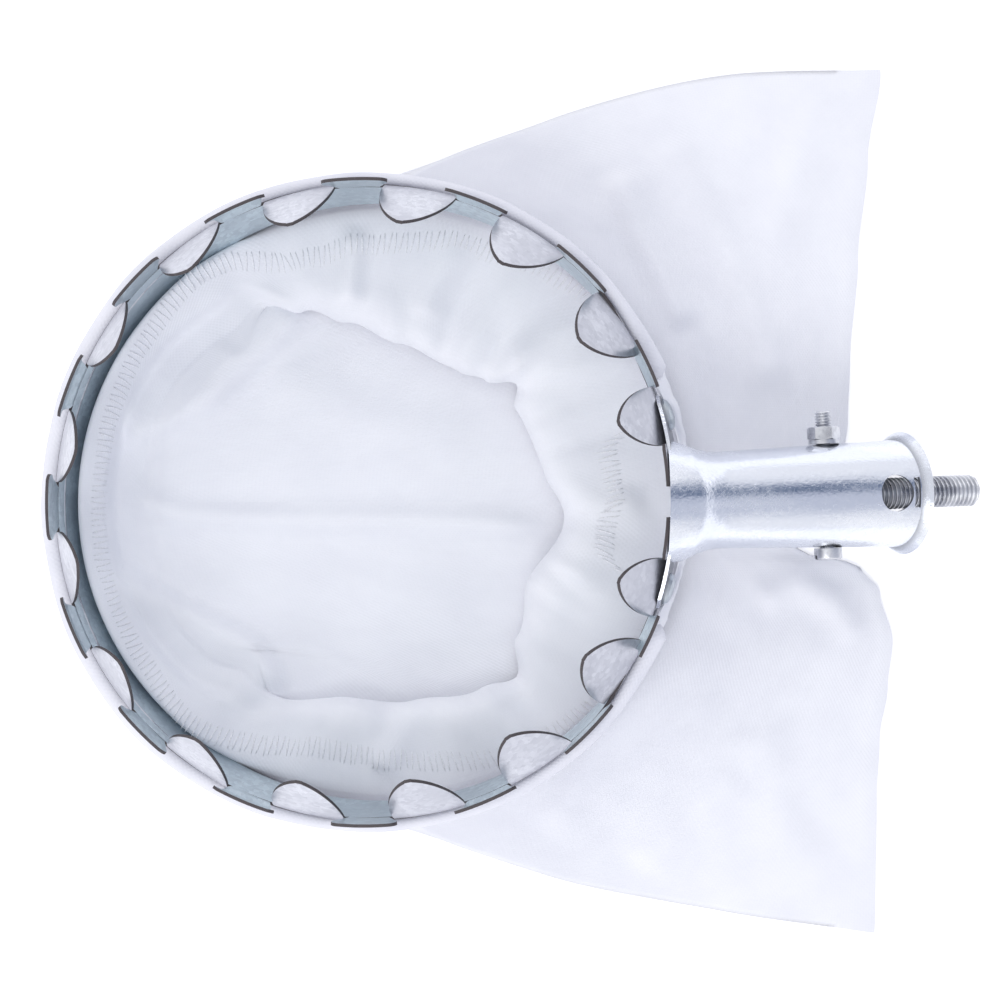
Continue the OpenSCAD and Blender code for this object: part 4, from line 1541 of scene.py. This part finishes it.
@dataclass
class Studio:
    """Plain soft studio: a pale floor, a pale sky and two wide lamps. Sizes are in metres."""

    eye: tuple[float, float, float] = (-0.0223478, 0.00038, 0.6306677)
    lean: float = math.radians(1.62)
    roll: float = math.radians(-0.09)
    lens: float = 88.36
    floor_side: float = 8.0
    floor_drop: float = 0.0003
    lamp_power: float = 4.2
    lamp_side: float = 0.9
    lamp_shape: float = 0.6

    def camera(self) -> None:
        """Adds the camera, which looks down on the ring."""
        data = bpy.data.cameras.new("Camera")
        data.sensor_width = 36.0
        data.lens = self.lens
        data.clip_start = 0.02
        camera = bpy.data.objects.new("Camera", data)
        camera.matrix_world = (Matrix.Translation(self.eye) @ Matrix.Rotation(-self.lean, 4, "Y")
                               @ Matrix.Rotation(self.roll, 4, "Z"))
        bpy.context.scene.collection.objects.link(camera)
        bpy.context.scene.camera = camera

    def floor(self) -> None:
        """Adds the pale floor, which keeps the object's shadow."""
        half, z = self.floor_side / 2, -self.floor_drop
        mesh = bpy.data.meshes.new("floor")
        corners = [(-half, -half, z), (half, -half, z), (half, half, z), (-half, half, z)]
        mesh.from_pydata(corners, [], [(0, 1, 2, 3)])
        floor = mesh_object("floor", mesh)
        material = bpy.data.materials.new("Pale_floor")
        material.use_nodes = True
        g = Graph(material.node_tree)
        g.tree.nodes.clear()
        matt = g.add("ShaderNodeBsdfDiffuse")
        matt.inputs["Color"].default_value = (0.9, 0.9, 0.92, 1)
        glow = g.add("ShaderNodeEmission")
        glow.inputs["Strength"].default_value = 0.42
        rays = g.add("ShaderNodeLightPath")
        seen = g.math("MAXIMUM", rays.outputs["Is Camera Ray"],
                      g.math("MAXIMUM", rays.outputs["Is Glossy Ray"], rays.outputs["Is Transmission Ray"]))
        both = g.add("ShaderNodeAddShader")
        g.join(matt.outputs[0], both.inputs[0])
        g.join(glow.outputs[0], both.inputs[1])
        pick = g.add("ShaderNodeMixShader")
        g.join(seen, pick.inputs[0])
        g.join(matt.outputs[0], pick.inputs[1])
        g.join(both.outputs[0], pick.inputs[2])
        out = g.add("ShaderNodeOutputMaterial")
        g.join(pick.outputs[0], out.inputs[0])
        floor.data.materials.append(material)

    def sky(self) -> None:
        """Adds a pale sky with a darker card that the socket's curve mirrors as a streak."""
        world = bpy.data.worlds.new("Studio")
        bpy.context.scene.world = world
        world.use_nodes = True
        g = Graph(world.node_tree)
        g.tree.nodes.clear()
        where = g.add("ShaderNodeTexCoord")
        split = g.add("ShaderNodeSeparateXYZ")
        g.join(where.outputs["Generated"], split.inputs[0])
        x, y, z = split.outputs
        dome = g.blend(g.span(z, 0.45, 0.85), (1.06, 1.06, 1.09, 1), (0.84, 0.85, 0.885, 1))
        ahead = g.span(x, 0.15, 0.35)
        haze = g.math("MULTIPLY", ahead, g.span(g.math("ABSOLUTE", y), 0.35, 0.75, 1.0, 0.0))
        aside = g.math("ABSOLUTE", g.math("SUBTRACT", y, 0.30))
        card = g.math("MULTIPLY", ahead, g.span(aside, 0.06, 0.24, 1.0, 0.0))
        shade = g.blend(card, g.blend(haze, dome, (0.62, 0.65, 0.76, 1)), (0.08, 0.13, 0.24, 1))
        rays = g.add("ShaderNodeLightPath")
        colour = g.blend(rays.outputs["Is Camera Ray"], shade, (1, 1, 1, 1))
        back = g.add("ShaderNodeBackground")
        g.join(colour, back.inputs["Color"])
        back.inputs["Strength"].default_value = 1.0
        out = g.add("ShaderNodeOutputWorld")
        g.join(back.outputs[0], out.inputs[0])

    def lamp(self, name: str, place: tuple[float, float, float], side: float, power: float) -> None:
        """Adds one wide lamp that faces the object.

        Args:
            name: The lamp's name.
            place: Where it stands.
            side: Its width.
            power: Its power, in watts.
        """
        data = bpy.data.lights.new(name, "AREA")
        data.shape = "RECTANGLE"
        data.size, data.size_y = side, side * self.lamp_shape
        data.energy = power
        lamp = bpy.data.objects.new(name, data)
        lamp.location = place
        lamp.rotation_mode = "QUATERNION"
        lamp.rotation_quaternion = Vector(place).to_track_quat("Z", "Y")
        bpy.context.scene.collection.objects.link(lamp)

    def build(self) -> None:
        """Sets the studio up."""
        self.camera()
        self.floor()
        self.sky()
        self.lamp("Key", (-0.35, -0.75, 1.0), self.lamp_side, self.lamp_power)
        self.lamp("Fill", (0.15, 0.95, 0.8), self.lamp_side, self.lamp_power * 0.5)
        bpy.context.scene.view_settings.view_transform = "Standard"


def main() -> None:
    """Builds the studio, the metal, the hardware and the bag, and reports each piece."""
    logging.basicConfig(level=logging.INFO, format="%(name)s: %(message)s")
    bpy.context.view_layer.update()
    Studio().build()
    plate = PlatedSteelFinish("Plated_steel", (0.74, 0.75, 0.78, 1), (0.40, 0.41, 0.45, 1), 0.24)
    steel = plate.material()
    metal = SheetMetal()
    metal.dress(steel)
    hardware = Hardware(steel)
    pieces = [CrownRing(metal.ring.material()).build(), metal.round_socket()]
    pieces += [hardware.eye_stud(), hardware.cross_bolt()]
    bag = CatchBag(
        ClothFinish("Bag_cloth", (0.885, 0.89, 0.935, 1), (0.85, 0.855, 0.905, 1), 0.0007,
                    0.00005).material(),
        ClothFinish("Hem_cloth", (0.82, 0.82, 0.88, 1), (0.77, 0.775, 0.84, 1), 0.0007, 0.00008).material(),
        YarnFinish("White_yarn", (0.93, 0.93, 0.97, 1)).material(),
    )
    pieces += bag.build()
    for piece in pieces:
        log.info("%s: %d faces", piece.name, len(piece.data.polygons))


if __name__ == "__main__":
    main()
